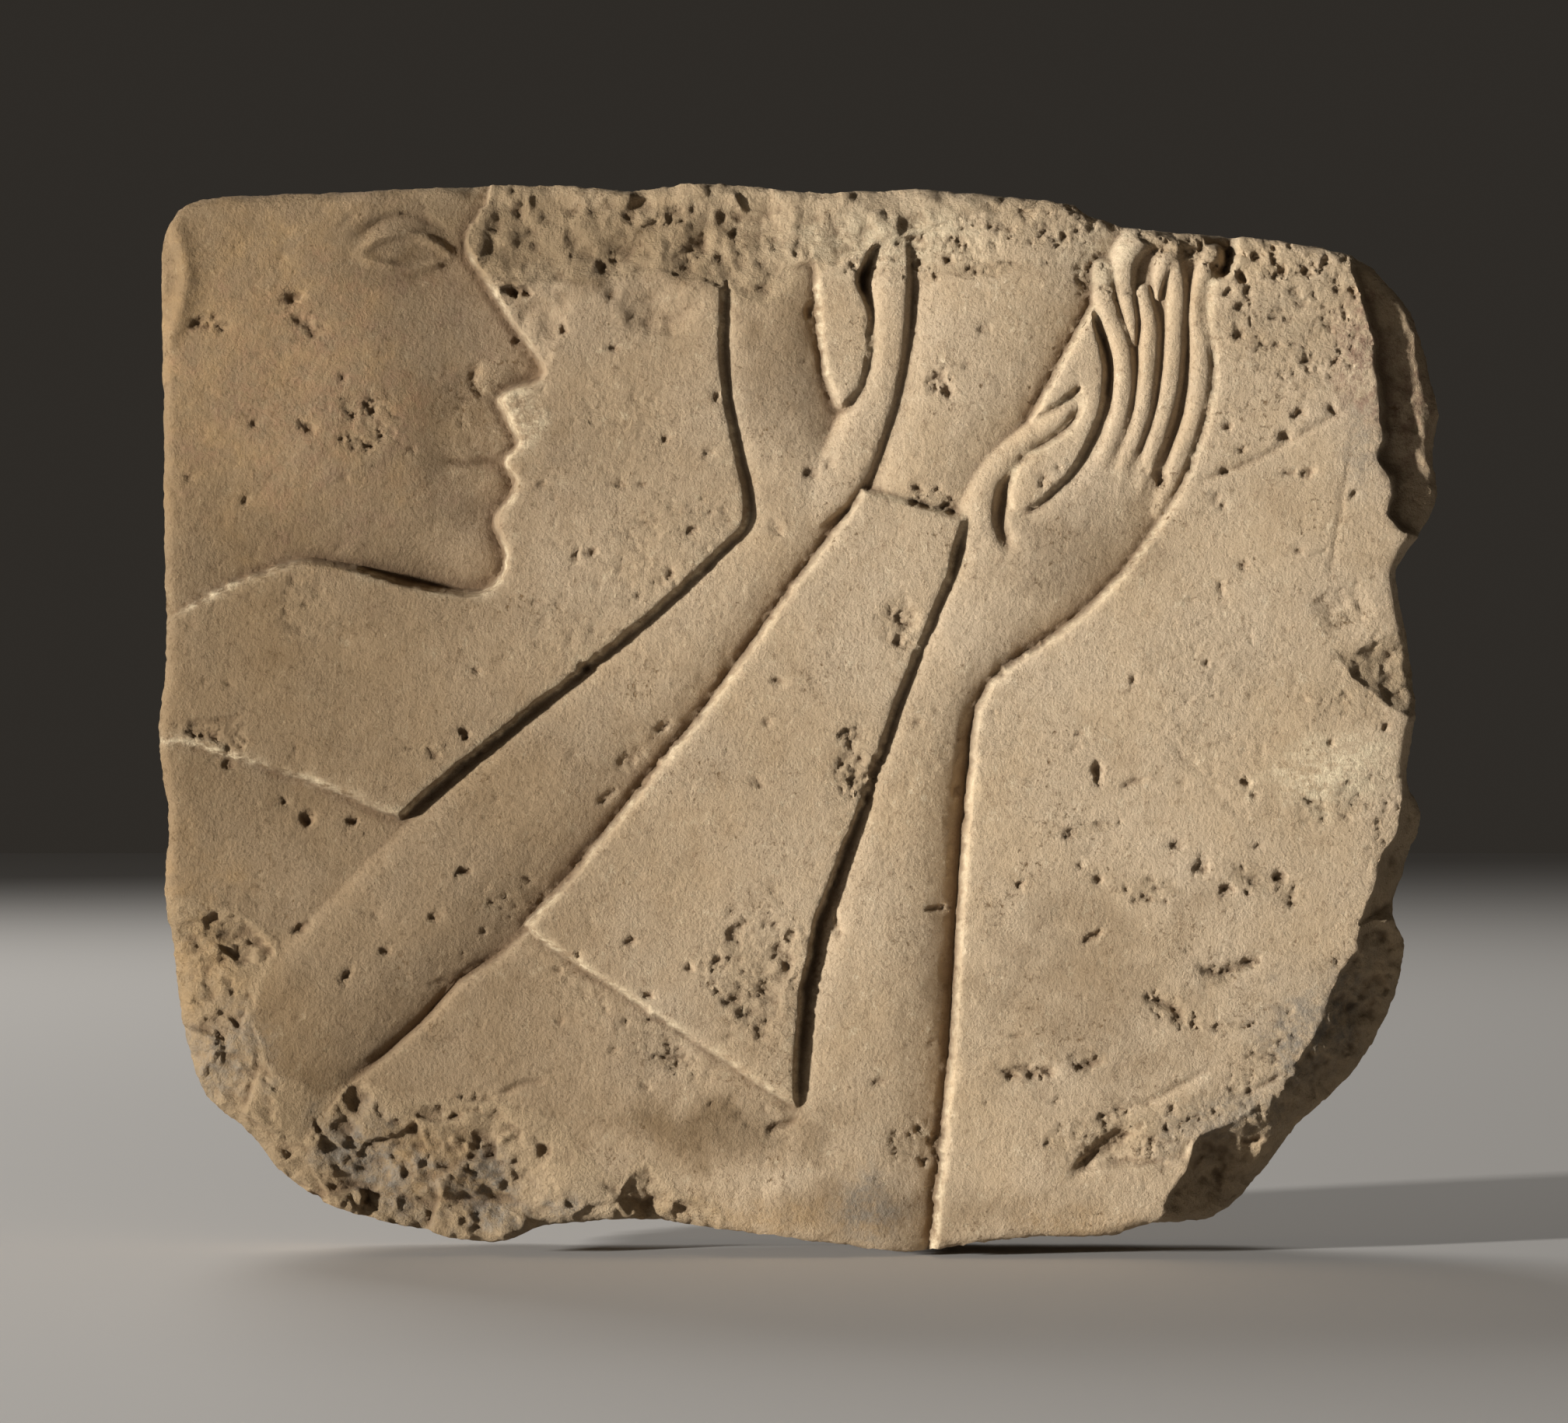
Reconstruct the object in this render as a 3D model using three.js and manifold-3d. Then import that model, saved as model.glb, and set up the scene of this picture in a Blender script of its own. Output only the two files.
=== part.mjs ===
// A limestone block from a wall, carved in sunk relief with a head in profile at the left and two raised
// arms with open hands. Millimetres: X runs along the panel, Z is up, and the carved face looks along -Y.
// The flat back, which met the wall, lies on y = 0. "Depth" is measured back from the field, the untouched
// face of the stone, and a point on the face is written [x, z, depth].
import * as THREE from 'three';
import { mergeVertices } from 'three/addons/utils/BufferGeometryUtils.js';
import Module from 'manifold-3d';

// Driving sizes
const thickness = 46; // field to flat back
const sunkDepth = 3; // field to the floor of the sunk figures
const arrisWear = 1.2; // worn slope along the edge of the field
const buried = sunkDepth + 5; // how far a carved form runs into the stone behind it
const inFront = -12; // where the volume taken off by a break ends, in the air before the field

// The face: proportions of a head of this height, chin to crown, with the crown lost above the block
const headHeight = 150;
const chinZ = 27;
const plumbX = -70; // upright line through the point of the chin

const wasm = await Module();
wasm.setup();

// ---- solids -----------------------------------------------------------------------------------------

function solid(points, triangles) {
  const mesh = new wasm.Mesh({
    numProp: 3,
    vertProperties: new Float32Array(points.flat()),
    triVerts: new Uint32Array(triangles.flat()),
  });
  return new wasm.Manifold(mesh);
}

function volumeSign(points, triangles) {
  const [a, b, c] = [new THREE.Vector3(), new THREE.Vector3(), new THREE.Vector3()];
  let sum = 0;
  for (const triangle of triangles) {
    a.fromArray(points[triangle[0]]);
    b.fromArray(points[triangle[1]]);
    c.fromArray(points[triangle[2]]);
    sum += a.dot(b.cross(c));
  }
  return Math.sign(sum);
}

function facingOut(points, triangles) {
  const turned = volumeSign(points, triangles) < 0;
  return solid(points, turned ? triangles.map(([a, b, c]) => [a, c, b]) : triangles);
}

// Closed solid between a surface, given as rows of [x, z, depth], and a flat side at the depth `far`
function sheet(rows, far) {
  const across = rows[0].length;
  const surface = rows.flat();
  const count = surface.length;
  const points = surface.map(([x, z, depth]) => [x, depth - thickness, z]);
  points.push(...surface.map(([x, z]) => [x, far - thickness, z]));
  const triangles = [];
  const quad = (a, b, c, d) => triangles.push([a, b, c], [a, c, d]);
  for (let r = 0; r + 1 < rows.length; r += 1) {
    for (let k = 0; k + 1 < across; k += 1) {
      const a = r * across + k;
      quad(a, a + 1, a + across + 1, a + across);
      quad(count + a, count + a + across, count + a + across + 1, count + a + 1);
    }
    const left = r * across;
    const right = left + across - 1;
    quad(left, left + across, count + left + across, count + left);
    quad(right + across, right, count + right, count + right + across);
  }
  const last = count - across;
  for (let k = 0; k + 1 < across; k += 1) {
    quad(k + 1, k, count + k, count + k + 1);
    quad(last + k, last + k + 1, count + last + k + 1, count + last + k);
  }
  return facingOut(points, triangles);
}

// Closed solid through rings of the same number of points, each ring lying on one depth
function rings(loops) {
  const around = loops[0].length;
  const points = loops.flat().map(([x, z, depth]) => [x, depth - thickness, z]);
  const triangles = [];
  for (let r = 0; r + 1 < loops.length; r += 1) {
    for (let k = 0; k < around; k += 1) {
      const a = r * around + k;
      const b = r * around + ((k + 1) % around);
      triangles.push([a, b, b + around], [a, b + around, a + around]);
    }
  }
  const contour = (loop) => loop.map(([x, z]) => new THREE.Vector2(x, z));
  const turned = THREE.ShapeUtils.area(contour(loops[0])) < 0;
  const cap = (loop) => {
    const faces = THREE.ShapeUtils.triangulateShape(contour(loop), []);
    return turned ? faces.map(([a, b, c]) => [a, c, b]) : faces;
  };
  const start = (loops.length - 1) * around;
  triangles.push(...cap(loops[0]).map(([a, b, c]) => [a, c, b]));
  triangles.push(...cap(loops[loops.length - 1]).map(([a, b, c]) => [start + a, start + b, start + c]));
  return facingOut(points, triangles);
}

// Stone left at the level of the field inside an outline, with its worn edge
function fieldPlate(outline) {
  const shape = new THREE.Shape(outline.map(([x, z]) => new THREE.Vector2(x, z)));
  const plate = new THREE.ExtrudeGeometry(shape, {
    depth: buried - 2 * arrisWear,
    bevelThickness: arrisWear,
    bevelSize: arrisWear,
    bevelOffset: -arrisWear,
    bevelSegments: 1,
  });
  plate.translate(0, 0, thickness - buried + arrisWear);
  plate.rotateX(Math.PI / 2);
  plate.deleteAttribute('normal');
  plate.deleteAttribute('uv');
  const merged = mergeVertices(plate, 1e-4);
  return new wasm.Manifold(new wasm.Mesh({
    numProp: 3,
    vertProperties: merged.attributes.position.array,
    triVerts: new Uint32Array(merged.index.array),
  }));
}

// ---- lines and forms --------------------------------------------------------------------------------

function smooth(points, perSpan, closed = false) {
  const line = points.map(([x, z]) => new THREE.Vector3(x, z, 0));
  const curve = new THREE.CatmullRomCurve3(line, closed, 'centripetal');
  const spans = closed ? points.length : points.length - 1;
  const samples = curve.getPoints(spans * perSpan).map((p) => [p.x, p.y]);
  return closed ? samples.slice(0, -1) : samples;
}

const unevenness = (seed) => THREE.MathUtils.seededRandom(seed) * 2 - 1;

// Rounded limb along stations [x, z, half width, crown depth]. Its crown leans to the left (+) or the
// right (-), and `fullness` says how squarely the left and the right side keep up before they fall away.
function limb(stations, { lean = 0, edge = sunkDepth + 0.6, perSpan = 2, across = 8, fullness = [2, 2] } = {}) {
  const middle = new THREE.CatmullRomCurve3(stations.map(([x, z, half]) => new THREE.Vector3(x, z, half)));
  const crowns = new THREE.CatmullRomCurve3(stations.map((s) => new THREE.Vector3(s[3], 0, 0)));
  const steps = (stations.length - 1) * perSpan;
  const rows = [];
  for (let i = 0; i <= steps; i += 1) {
    const t = i / steps;
    const centre = middle.getPoint(t);
    const ahead = middle.getPoint(Math.min(t + 0.01, 1)).sub(middle.getPoint(Math.max(t - 0.01, 0)));
    const length = Math.hypot(ahead.x, ahead.y);
    const crown = crowns.getPoint(t).x;
    const row = [];
    for (let k = 0; k <= across; k += 1) {
      const side = (2 * k) / across - 1;
      const reach = side > lean ? (side - lean) / (1 - lean) : (lean - side) / (1 + lean);
      const fall = reach ** (side > lean ? fullness[0] : fullness[1]);
      row.push([
        centre.x - (ahead.y / length) * side * centre.z,
        centre.y + (ahead.x / length) * side * centre.z,
        crown + (edge - crown) * fall,
      ]);
    }
    rows.push(row);
  }
  return sheet(rows, buried);
}

// Volume broken off outside a border line: `slope` lists [distance from the border, depth]
function breakAway(border, towards, slope, seed, roughness = 1) {
  const line = smooth(border, 2);
  const rows = line.map(([x, z], i) => slope.map(([distance, depth], k) => {
    const jitter = k === 0 ? 0 : roughness;
    return [
      x + towards[0] * (distance + jitter * unevenness(seed + 31 * i + k)),
      z + towards[1] * (distance + jitter * unevenness(seed + 57 * i + k)),
      depth + jitter * 0.7 * unevenness(seed + 83 * i + k),
    ];
  }));
  return sheet(rows, inFront);
}

// Rough chip: a lumpy ball cut into the face
function chip(x, z, depth, [wide, deep, tall], seed) {
  const ball = new THREE.IcosahedronGeometry(1, 1);
  ball.deleteAttribute('normal');
  ball.deleteAttribute('uv');
  const merged = mergeVertices(ball, 1e-4);
  const spots = merged.attributes.position;
  const points = [];
  for (let i = 0; i < spots.count; i += 1) {
    const size = 1 + 0.22 * unevenness(seed + i);
    points.push([
      x + spots.getX(i) * wide * size,
      depth - thickness + spots.getY(i) * deep * size,
      z + spots.getZ(i) * tall * size,
    ]);
  }
  const triangles = [];
  for (let i = 0; i < merged.index.count; i += 3) {
    triangles.push([merged.index.getX(i), merged.index.getX(i + 1), merged.index.getX(i + 2)]);
  }
  return facingOut(points, triangles);
}

// ---- the block --------------------------------------------------------------------------------------

// Broken outline of the block, clockwise from the top left corner
const blockOutline = [
  [-139.5, 99], [-138, 106.5], [-132.5, 112.6], [-114, 114.2], [-96, 115], [-76, 116.2], [-54, 116.6],
  [-37, 115.5], [-24, 117], [-9, 116.4], [5, 115], [24, 115.8], [43, 114.3], [58, 112.6], [63, 110.2],
  [75, 106.6], [90, 105.8], [106, 103.9], [121, 100.6], [129, 94.5], [134.4, 87], [138, 75], [140, 66],
  [138.6, 58], [139.5, 49], [137.5, 43], [132, 35], [130.4, 29], [133.2, 15], [134.6, 2], [132.6, -13],
  [136.4, -21], [133, -32], [129.9, -43], [132.9, -50], [131, -61], [127, -70], [120, -80], [107, -90.5],
  [102, -97], [97.5, -105], [89, -110.2], [77, -110.6], [66, -113.4], [52, -113.6], [38, -115],
  [24, -117], [8, -115.4], [-7, -113.4], [-22, -111.6], [-37, -110.2], [-54, -111.4], [-68, -115.2],
  [-84, -112.3], [-100, -107.8], [-111, -102], [-118, -92.5], [-126, -86.8], [-131.5, -80], [-135.2, -66],
  [-137, -51], [-138.9, -40], [-138, -22], [-140.2, -5], [-138.5, 12], [-139, 40], [-139, 70],
];

// How far the outline draws in at each depth: a worn front edge, a full middle, and a back trimmed a little
const sideProfile = [[-1, 3.4], [1.2, 2], [4, 0.8], [14, 0], [32, 0.6], [thickness, 2.6]];

function block() {
  const outline = smooth(blockOutline, 2, true);
  const loops = sideProfile.map(([depth, drawIn], ring) => outline.map(([x, z], i) => {
    const reach = Math.hypot(x, z);
    const inward = drawIn + 0.7 * (1 + unevenness(19 * i + 7 * ring)) * (drawIn > 0 ? 1 : 0);
    return [x * (1 - inward / reach), z * (1 - inward / reach), depth];
  }));
  return rings(loops);
}

// ---- the head ---------------------------------------------------------------------------------------

// Profile from the brow down to the throat, as [forward of the plumb line, up from the chin], both in
// parts of the height of the head: brow at 2/3.5, base of the nose at 1/3.5, mouth a third below that
const profile = [
  [0.012, 0.66], [0.018, 0.575], [-0.016, 0.51], [0.014, 0.455], [0.058, 0.385], [0.092, 0.335],
  [0.088, 0.308], [0.036, 0.286], [0.046, 0.25], [0.062, 0.217], [0.042, 0.19], [0.055, 0.162],
  [0.049, 0.135], [0.026, 0.105], [0.043, 0.055], [0.032, 0.018], [0, 0], [-0.06, 0.003],
].map(([forward, up]) => [plumbX + forward * headHeight, chinZ + up * headHeight]);

// Underside of the jaw and front of the neck, running back to the left edge of the block
const throat = [[-88, 29.5], [-98, 32.5], [-107, 33.5], [-117, 31], [-129, 25.5], [-146, 16]];

const profileLine = smooth(profile, 2);

function profileX(z) {
  const upper = profileLine.findLast((p) => p[1] >= z) ?? profileLine[0];
  const lower = profileLine.find((p) => p[1] < z) ?? profileLine[profileLine.length - 1];
  const share = upper[1] === lower[1] ? 0 : (z - lower[1]) / (upper[1] - lower[1]);
  return lower[0] + share * (upper[0] - lower[0]);
}

// Soft swelling (+) or hollow (-) of the head around [forward, up], given in parts of the head's height
function swelling(x, z, [forward, up, wide, tall, rise]) {
  const acrossParts = (x - plumbX - forward * headHeight) / (wide * headHeight);
  const upParts = (z - chinZ - up * headHeight) / (tall * headHeight);
  return rise * Math.exp(-acrossParts * acrossParts - upParts * upParts);
}

const headForms = [
  [-0.1, 0.5, 0.055, 0.035, -0.9], // socket of the eye
  [-0.1, 0.5, 0.04, 0.018, 0.8], // eyeball
  [-0.08, 0.565, 0.09, 0.02, 0.5], // brow
  [0.045, 0.31, 0.025, 0.022, 0.9], // wing of the nose
  [0.03, 0.22, 0.05, 0.014, 0.7], // upper lip
  [0.03, 0.165, 0.045, 0.014, 0.7], // lower lip
  [0.02, 0.055, 0.05, 0.04, 0.5], // chin
  [-0.17, 0.3, 0.1, 0.1, 0.5], // cheek
  [-0.44, 0.44, 0.08, 0.2, -1], // hollow that the ear stands in
];

function headSurface(x, z) {
  const inside = Math.max(profileX(z) - x, 0);
  const fromProfile = 2.4 * (1 - Math.exp(-inside / 9));
  const forms = headForms.reduce((sum, form) => sum + swelling(x, z, form), 0);
  return Math.max(sunkDepth - fromProfile - forms * Math.min(inside / 4, 1), 0.05);
}

// The head's surface, in rows that meet each point of the profile and columns that widen going back
function head() {
  const chin = Math.min(...profileLine.map((p) => p[1]));
  const heights = profileLine.map((p) => p[1]).filter((z, i, all) => i === 0 || z < all[i - 1]);
  const columns = [-2, 0, 1.5, 3.4, 5.6, 8, 10.5, 13.5, 17, 21, 27, 35, 46, 58, 68, 78, 92];
  const rows = [...heights, chin - 6, chin - 13].map((z) => columns.map((back) => {
    const x = profileX(z) - back;
    return [x, z, headSurface(x, z)];
  }));
  return sheet(rows, buried);
}

// Fine raised lines of the face, as limbs: [forward, up] in parts of the head's height, then half width
function faceLine(points, crown) {
  const stations = points.map(([forward, up, half]) => [
    plumbX + forward * headHeight, chinZ + up * headHeight, half, crown,
  ]);
  return limb(stations, { edge: crown + 1.6, across: 4 });
}

function faceLines() {
  return [
    faceLine([[-0.185, 0.492, 0.4], [-0.14, 0.518, 0.8], [-0.09, 0.524, 0.9], [-0.045, 0.498, 0.5]], 0.3),
    faceLine([[-0.185, 0.49, 0.4], [-0.13, 0.48, 0.6], [-0.08, 0.478, 0.6], [-0.045, 0.494, 0.4]], 0.5),
    faceLine([[-0.2, 0.55, 0.6], [-0.13, 0.585, 1], [-0.06, 0.58, 1.1], [-0.01, 0.555, 0.8]], 0.3),
    faceLine([[0.018, 0.327, 0.4], [0.012, 0.302, 0.8], [0.026, 0.283, 0.7]], 0.5),
    faceLine([[-0.47, 0.57, 1.6], [-0.43, 0.54, 1.8], [-0.415, 0.47, 1.9], [-0.425, 0.38, 1.7],
      [-0.45, 0.315, 1.8]], 0.1),
  ];
}

// ---- stone left at the level of the field -----------------------------------------------------------

const leftHandInner = [[4, 91], [4.5, 84], [5.3, 78], [6.5, 73], [8.8, 67.2], [12, 70], [14, 75], [15, 82],
  [14.6, 89], [12.8, 95], [15.4, 98.5], [15, 124]];
const leftArmUpper = [[-87, -21.4], [-66, -4], [-45.7, 11.7], [-29, 25.4], [-16.5, 37.2], [-12.2, 41.6],
  [-11.6, 47], [-13.7, 57.5], [-16.2, 70], [-17, 82], [-16.8, 90.5]];
const sleeveLine = [[-146, -4], [-131, -5.5], [-122, -8.6], [-105, -13.8], [-95, -18]];

const leftField = [
  [-66, 124], ...profileLine, ...throat, ...sleeveLine, ...smooth(leftArmUpper, 2),
  [-8, 90.8], [-2, 91.6], [2.5, 94], ...smooth(leftHandInner, 2),
];

const middleField = [
  [14, 49], [35.6, 43], [32, 30], [26.6, 17], [20.5, 2], [15, -14], [9.5, -29], [4, -43], [0.7, -58],
  [-0.7, -73], [-1, -84], [-30, -65], [-56.5, -47.6], [-59, -45], [-50, -35.5], [-30, -10.5], [-20, 1.5],
  [0, 30], [10, 43],
];

const rightArmOuter = [[28, -124], [29, -116], [31.4, -93], [33.6, -67], [35, -41.5], [36.9, -16], [38.4, -1],
  [40.6, 5], [44.6, 10], [59, 20], [71, 32], [79, 43], [83.3, 50.5], [87.5, 61], [90, 72], [90, 79],
  [88.8, 86], [89.5, 94], [94, 99], [97, 124]];
const rightField = [...smooth(rightArmOuter, 2), [150, 124], [150, -124]];

// Island between the fingers and the palm of the right hand, with the notch that the thumb lies in
const handIsland = [
  ...smooth([[63.4, 88.6], [64.8, 82], [66.2, 74], [65.2, 67], [62.6, 60], [58, 52.6], [50, 45.6], [46.6, 45],
    [45.6, 49], [47, 53.6]], 2),
  ...smooth([[50, 56.8], [57.5, 61.4], [61, 66], [60.4, 71.2]], 2),
  [50.4, 64.4],
];

// ---- limbs ------------------------------------------------------------------------------------------

function leftArm() {
  const arm = limb([
    [-128, -92, 24, 1.4], [-112, -74, 20.5, 1], [-93.5, -53.5, 18.8, 0.8], [-74.5, -34.8, 18.2, 0.7],
    [-54.5, -15.5, 17, 0.7], [-34.9, 3.9, 14.4, 0.8], [-19, 21.2, 12, 0.8], [-7.5, 34.5, 10.4, 0.9],
    [-1.5, 46, 11.5, 1], [-3, 58, 12.4, 0.9], [-5, 70, 12.6, 0.9], [-6.2, 82, 11.8, 0.9], [-6.5, 98, 11.4, 1],
  ], { lean: 0.2, edge: sunkDepth - 0.5, fullness: [5, 2] });
  const thumb = limb([
    [3, 45, 4, 2.2], [9, 53, 6.2, 1.2], [14.2, 64, 5.6, 0.7], [17.6, 73, 5, 0.6], [19.5, 82, 4.6, 0.5],
    [20.4, 90, 4, 0.5], [21, 97, 2.8, 0.7], [21.4, 103, 1.4, 1.2],
  ], { across: 6 });
  return [arm, thumb];
}

function rightArm() {
  const forearm = limb([
    [8, -126, 24, 1.2], [9, -104, 24, 1.3], [15, -80, 19.4, 1.1], [17.3, -60, 17.6, 1], [22.6, -30, 14.4, 0.9],
    [29.2, 0, 11, 0.8], [38, 18, 13.4, 0.7], [49, 33, 18, 0.7], [60, 45, 20, 0.8], [69, 55, 18, 1.2],
  ], { lean: 0.25, fullness: [3, 2] });
  const body = limb([
    [-112, -112, 24, 2.8], [-75, -92, 26, 2.6], [-40, -88, 32, 2.3], [-10, -104, 26, 1.9], [12, -112, 22, 1.8],
  ], { edge: sunkDepth + 0.4, fullness: [3, 3] });
  const thumb = limb([
    [37, 34, 3, 2.2], [39.2, 43, 5, 0.7], [41.6, 51, 4.4, 0.5], [45.4, 56.4, 3.5, 0.5], [50.4, 60.6, 3.1, 0.4],
    [55.6, 64.4, 3.3, 0.4], [60.2, 68.6, 1.4, 1],
  ], { across: 6 });
  return [forearm, body, thumb];
}

// Fingers of the right hand, from the knuckles up: [x, z, half width, crown depth]
const fingers = [
  [[63.6, 51, 1.6, 1.6], [67.2, 59, 2.4, 0.5], [69.2, 65, 2.4, 0.4], [70.3, 71, 2.4, 0.4], [70.4, 77, 2.4, 0.4],
    [69, 83, 2.4, 0.5], [66.6, 89, 2.4, 0.5], [65.8, 97, 2, 0.9]],
  [[68, 49, 1.4, 1.7], [72, 59, 2.2, 0.5], [74.2, 65, 2.3, 0.4], [75.4, 73, 2.3, 0.4], [75.8, 79, 2.3, 0.4],
    [76, 85, 2.2, 0.5], [74.6, 92, 1.8, 0.8]],
  [[73, 48, 1.4, 1.8], [76.6, 58, 2.2, 0.5], [79, 65, 2.3, 0.4], [80.5, 72, 2.3, 0.4], [81.2, 78, 2.3, 0.4],
    [80.8, 85, 2.2, 0.5], [79.6, 95, 1.8, 0.7]],
  [[78, 45, 1.6, 2.2], [83, 57, 2.5, 0.5], [85.6, 64, 2.6, 0.4], [87.1, 71, 2.8, 0.4], [87.4, 80, 2.8, 0.4],
    [86.4, 88, 2.7, 0.5], [87.2, 93, 2.5, 0.5], [89.4, 98.5, 1.8, 0.8]],
  [[81, 102.6, 1.2, 1.2], [76.8, 104, 2.3, 0.4], [72.6, 102.4, 2.8, 0.2], [70.4, 98, 2.6, 0.3],
    [70.7, 92, 2, 0.4], [71.8, 86, 1.6, 0.6], [72.4, 81, 0.7, 1.4]],
  [[80.6, 101.4, 2.4, 0.8], [78.8, 98, 2.1, 0.4], [77.7, 94, 1.3, 0.5], [77.5, 91, 0.6, 1]],
];

// The broad rounded form between the two hands, running up to the top of the block
function formBetweenHands() {
  return limb([
    [24, 42, 13, 1.6], [30, 58, 16.5, 1.1], [36.6, 74, 20, 0.9], [42, 90, 22.5, 0.8], [43, 104, 28, 0.7],
    [42, 122, 32, 0.6],
  ], { lean: 0.2 });
}

// The sleeve, lowest where the arm rises out of it
function sleeve() {
  const rows = [-2, -12, -22, -32, -46, -60].map((z) => [-146, -132, -118, -104, -88].map((x) => {
    return [x, z, 0.9 + 0.034 * (x + 146) + 0.01 * (z + 60)];
  }));
  return sheet(rows, buried);
}

// ---- breaks -----------------------------------------------------------------------------------------

function breaks() {
  const topScoop = breakAway(
    [[-86, 112], [-79, 102], [-70, 89], [-60, 81], [-44, 79], [-30, 83], [-18, 90], [0, 95], [17, 99],
      [30, 106], [46, 110], [62, 109]],
    [0, 1], [[-1, -0.6], [2, 0.8], [8, 2.2], [15, 3.6], [22, 5.4], [30, 10], [46, 22]], 11, 0.9,
  );
  const rightLedge = breakAway(
    [[120, 108], [125, 93], [125.5, 84], [126.5, 70], [127.5, 58], [128.5, 48], [130.5, 39]],
    [1, 0], [[-1, -1], [0.6, 3.4], [3, 5.4], [9, 6.2], [16, 8], [26, 14]], 203, 0.5,
  );
  const lowerRight = breakAway(
    [[131, -24], [124, -36], [119, -52], [112, -66], [104, -79], [93, -86], [86, -92], [85, -101], [79, -113]],
    [0.8, -0.6], [[-1, -0.8], [1.5, 3.5], [6, 8], [12, 12], [22, 17], [40, 26]], 407, 1,
  );
  const lowerLeft = breakAway(
    [[-142, -36], [-126, -42], [-117, -52], [-115, -66], [-110, -77], [-98, -80], [-88, -76], [-76, -84],
      [-62, -91], [-50, -94], [-40, -100], [-30, -106]],
    [-0.5, -0.86], [[-1.5, 0.2], [1.5, 3.4], [7, 4.8], [15, 7.4], [24, 12], [40, 24]], 613, 0.9,
  );
  return [topScoop, rightLedge, lowerRight, lowerLeft];
}

// Larger chips: [x, z, depth of the middle, half sizes]
const chips = [
  [119, 24, 0, [8, 3, 5]], [124, 11, 0.5, [8, 4, 8]], [-14, -58, -0.9, [12, 1.9, 15]],
  [66, -94, 0.4, [10, 3, 3]], [-30, -104, 4, [9, 7, 8]], [-98, -82, 5, [7, 6, 5]],
  [-131, -3, 1, [6, 3, 3]], [-72, -3.6, 0.6, [1.8, 2.4, 1.7]], [-107, -22, 2.6, [2.2, 3, 1.8]],
  [31, 72, 1, [2.6, 2.6, 2.4]], [14, -8, 0.4, [5, 1.8, 4]], [24, 20, 0.4, [3, 1.6, 4]],
];

// ---- the panel --------------------------------------------------------------------------------------

function sunkFloor() {
  const corners = [[-160, 130], [160, 130], [160, -130], [-160, -130]];
  return rings([sunkDepth, thickness + 2].map((depth) => corners.map(([x, z]) => [x, z, depth])));
}

function carvedStone() {
  const fields = [leftField, middleField, rightField, handIsland].map(fieldPlate);
  const hands = fingers.map((stations) => limb(stations, { across: 6 }));
  const forms = [head(), ...faceLines(), sleeve(), formBetweenHands(), ...leftArm(), ...rightArm(), ...hands];
  const carved = wasm.Manifold.union([sunkFloor(), ...fields, ...forms]);
  const lost = [...breaks(), ...chips.map(([x, z, depth, size], i) => chip(x, z, depth, size, 900 + 50 * i))];
  return carved.intersect(block()).subtract(wasm.Manifold.union(lost));
}

function toGeometry(manifold) {
  const mesh = manifold.getMesh();
  const geometry = new THREE.BufferGeometry();
  geometry.setAttribute('position', new THREE.BufferAttribute(new Float32Array(mesh.vertProperties), 3));
  geometry.setIndex(new THREE.BufferAttribute(new Uint32Array(mesh.triVerts), 1));
  geometry.computeVertexNormals();
  return geometry;
}

const limestone = new THREE.MeshStandardMaterial({ color: 0xb39c7c, roughness: 0.95, metalness: 0 });

const stonePanel = new THREE.Mesh(toGeometry(carvedStone()), limestone);
stonePanel.name = 'stone_panel';

const panel = new THREE.Group();
panel.add(stonePanel);

export default panel;
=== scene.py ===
"""A limestone block from a wall, carved in sunk relief with a head in profile and two raised arms."""

import bpy
import numpy as np
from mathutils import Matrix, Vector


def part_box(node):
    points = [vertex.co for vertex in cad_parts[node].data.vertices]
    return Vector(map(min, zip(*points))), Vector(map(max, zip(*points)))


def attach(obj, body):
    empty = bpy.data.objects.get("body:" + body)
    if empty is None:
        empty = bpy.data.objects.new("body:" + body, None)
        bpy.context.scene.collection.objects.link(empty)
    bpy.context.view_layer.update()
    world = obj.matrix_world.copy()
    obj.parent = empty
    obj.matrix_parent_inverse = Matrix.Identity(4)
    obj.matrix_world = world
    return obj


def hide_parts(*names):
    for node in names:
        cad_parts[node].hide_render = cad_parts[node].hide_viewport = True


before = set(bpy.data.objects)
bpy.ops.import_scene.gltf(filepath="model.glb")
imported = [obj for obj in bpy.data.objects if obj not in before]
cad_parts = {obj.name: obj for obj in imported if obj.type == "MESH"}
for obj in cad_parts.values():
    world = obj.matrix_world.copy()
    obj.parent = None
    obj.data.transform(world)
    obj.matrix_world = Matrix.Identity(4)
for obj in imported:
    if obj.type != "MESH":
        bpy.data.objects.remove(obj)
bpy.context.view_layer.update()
stone_low, stone_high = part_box("stone_panel")

# ---- Camera, floor and light -----------------------------------------------------------------------
# A long lens square on to the carved face, a little left of its middle, over a plain pale floor. One lamp
# rakes across the face from the left, a faint one and the room fill the shadows, and a wide one behind
# lights only the back and the floor.

panel_width = stone_high[0] - stone_low[0]
view_width = 1.2115 * panel_width
aim_x, aim_z = -0.0123 * panel_width, 0.0045 * panel_width
floor_gap = 0.0002
lamp_white = (1, 0.98, 0.95)
room_warmth = (1, 0.88, 0.74)

camera_data = bpy.data.cameras.new("camera")
camera_data.lens = 150
camera_data.sensor_width = 36
camera_data.clip_end = 20
camera = bpy.data.objects.new("camera", camera_data)
camera.location = (aim_x, stone_low[1] - view_width * camera_data.lens / camera_data.sensor_width, aim_z)
camera.rotation_euler = (np.pi / 2, 0, 0)
bpy.context.scene.collection.objects.link(camera)
bpy.context.scene.camera = camera


def srgb(code):
    """A colour written as six hex digits, turned into the linear light that the shader works in."""
    parts = [int(code[i : i + 2], 16) / 255 for i in (0, 2, 4)]
    return [p / 12.92 if p <= 0.04045 else ((p + 0.055) / 1.055) ** 2.4 for p in parts] + [1.0]


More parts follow.
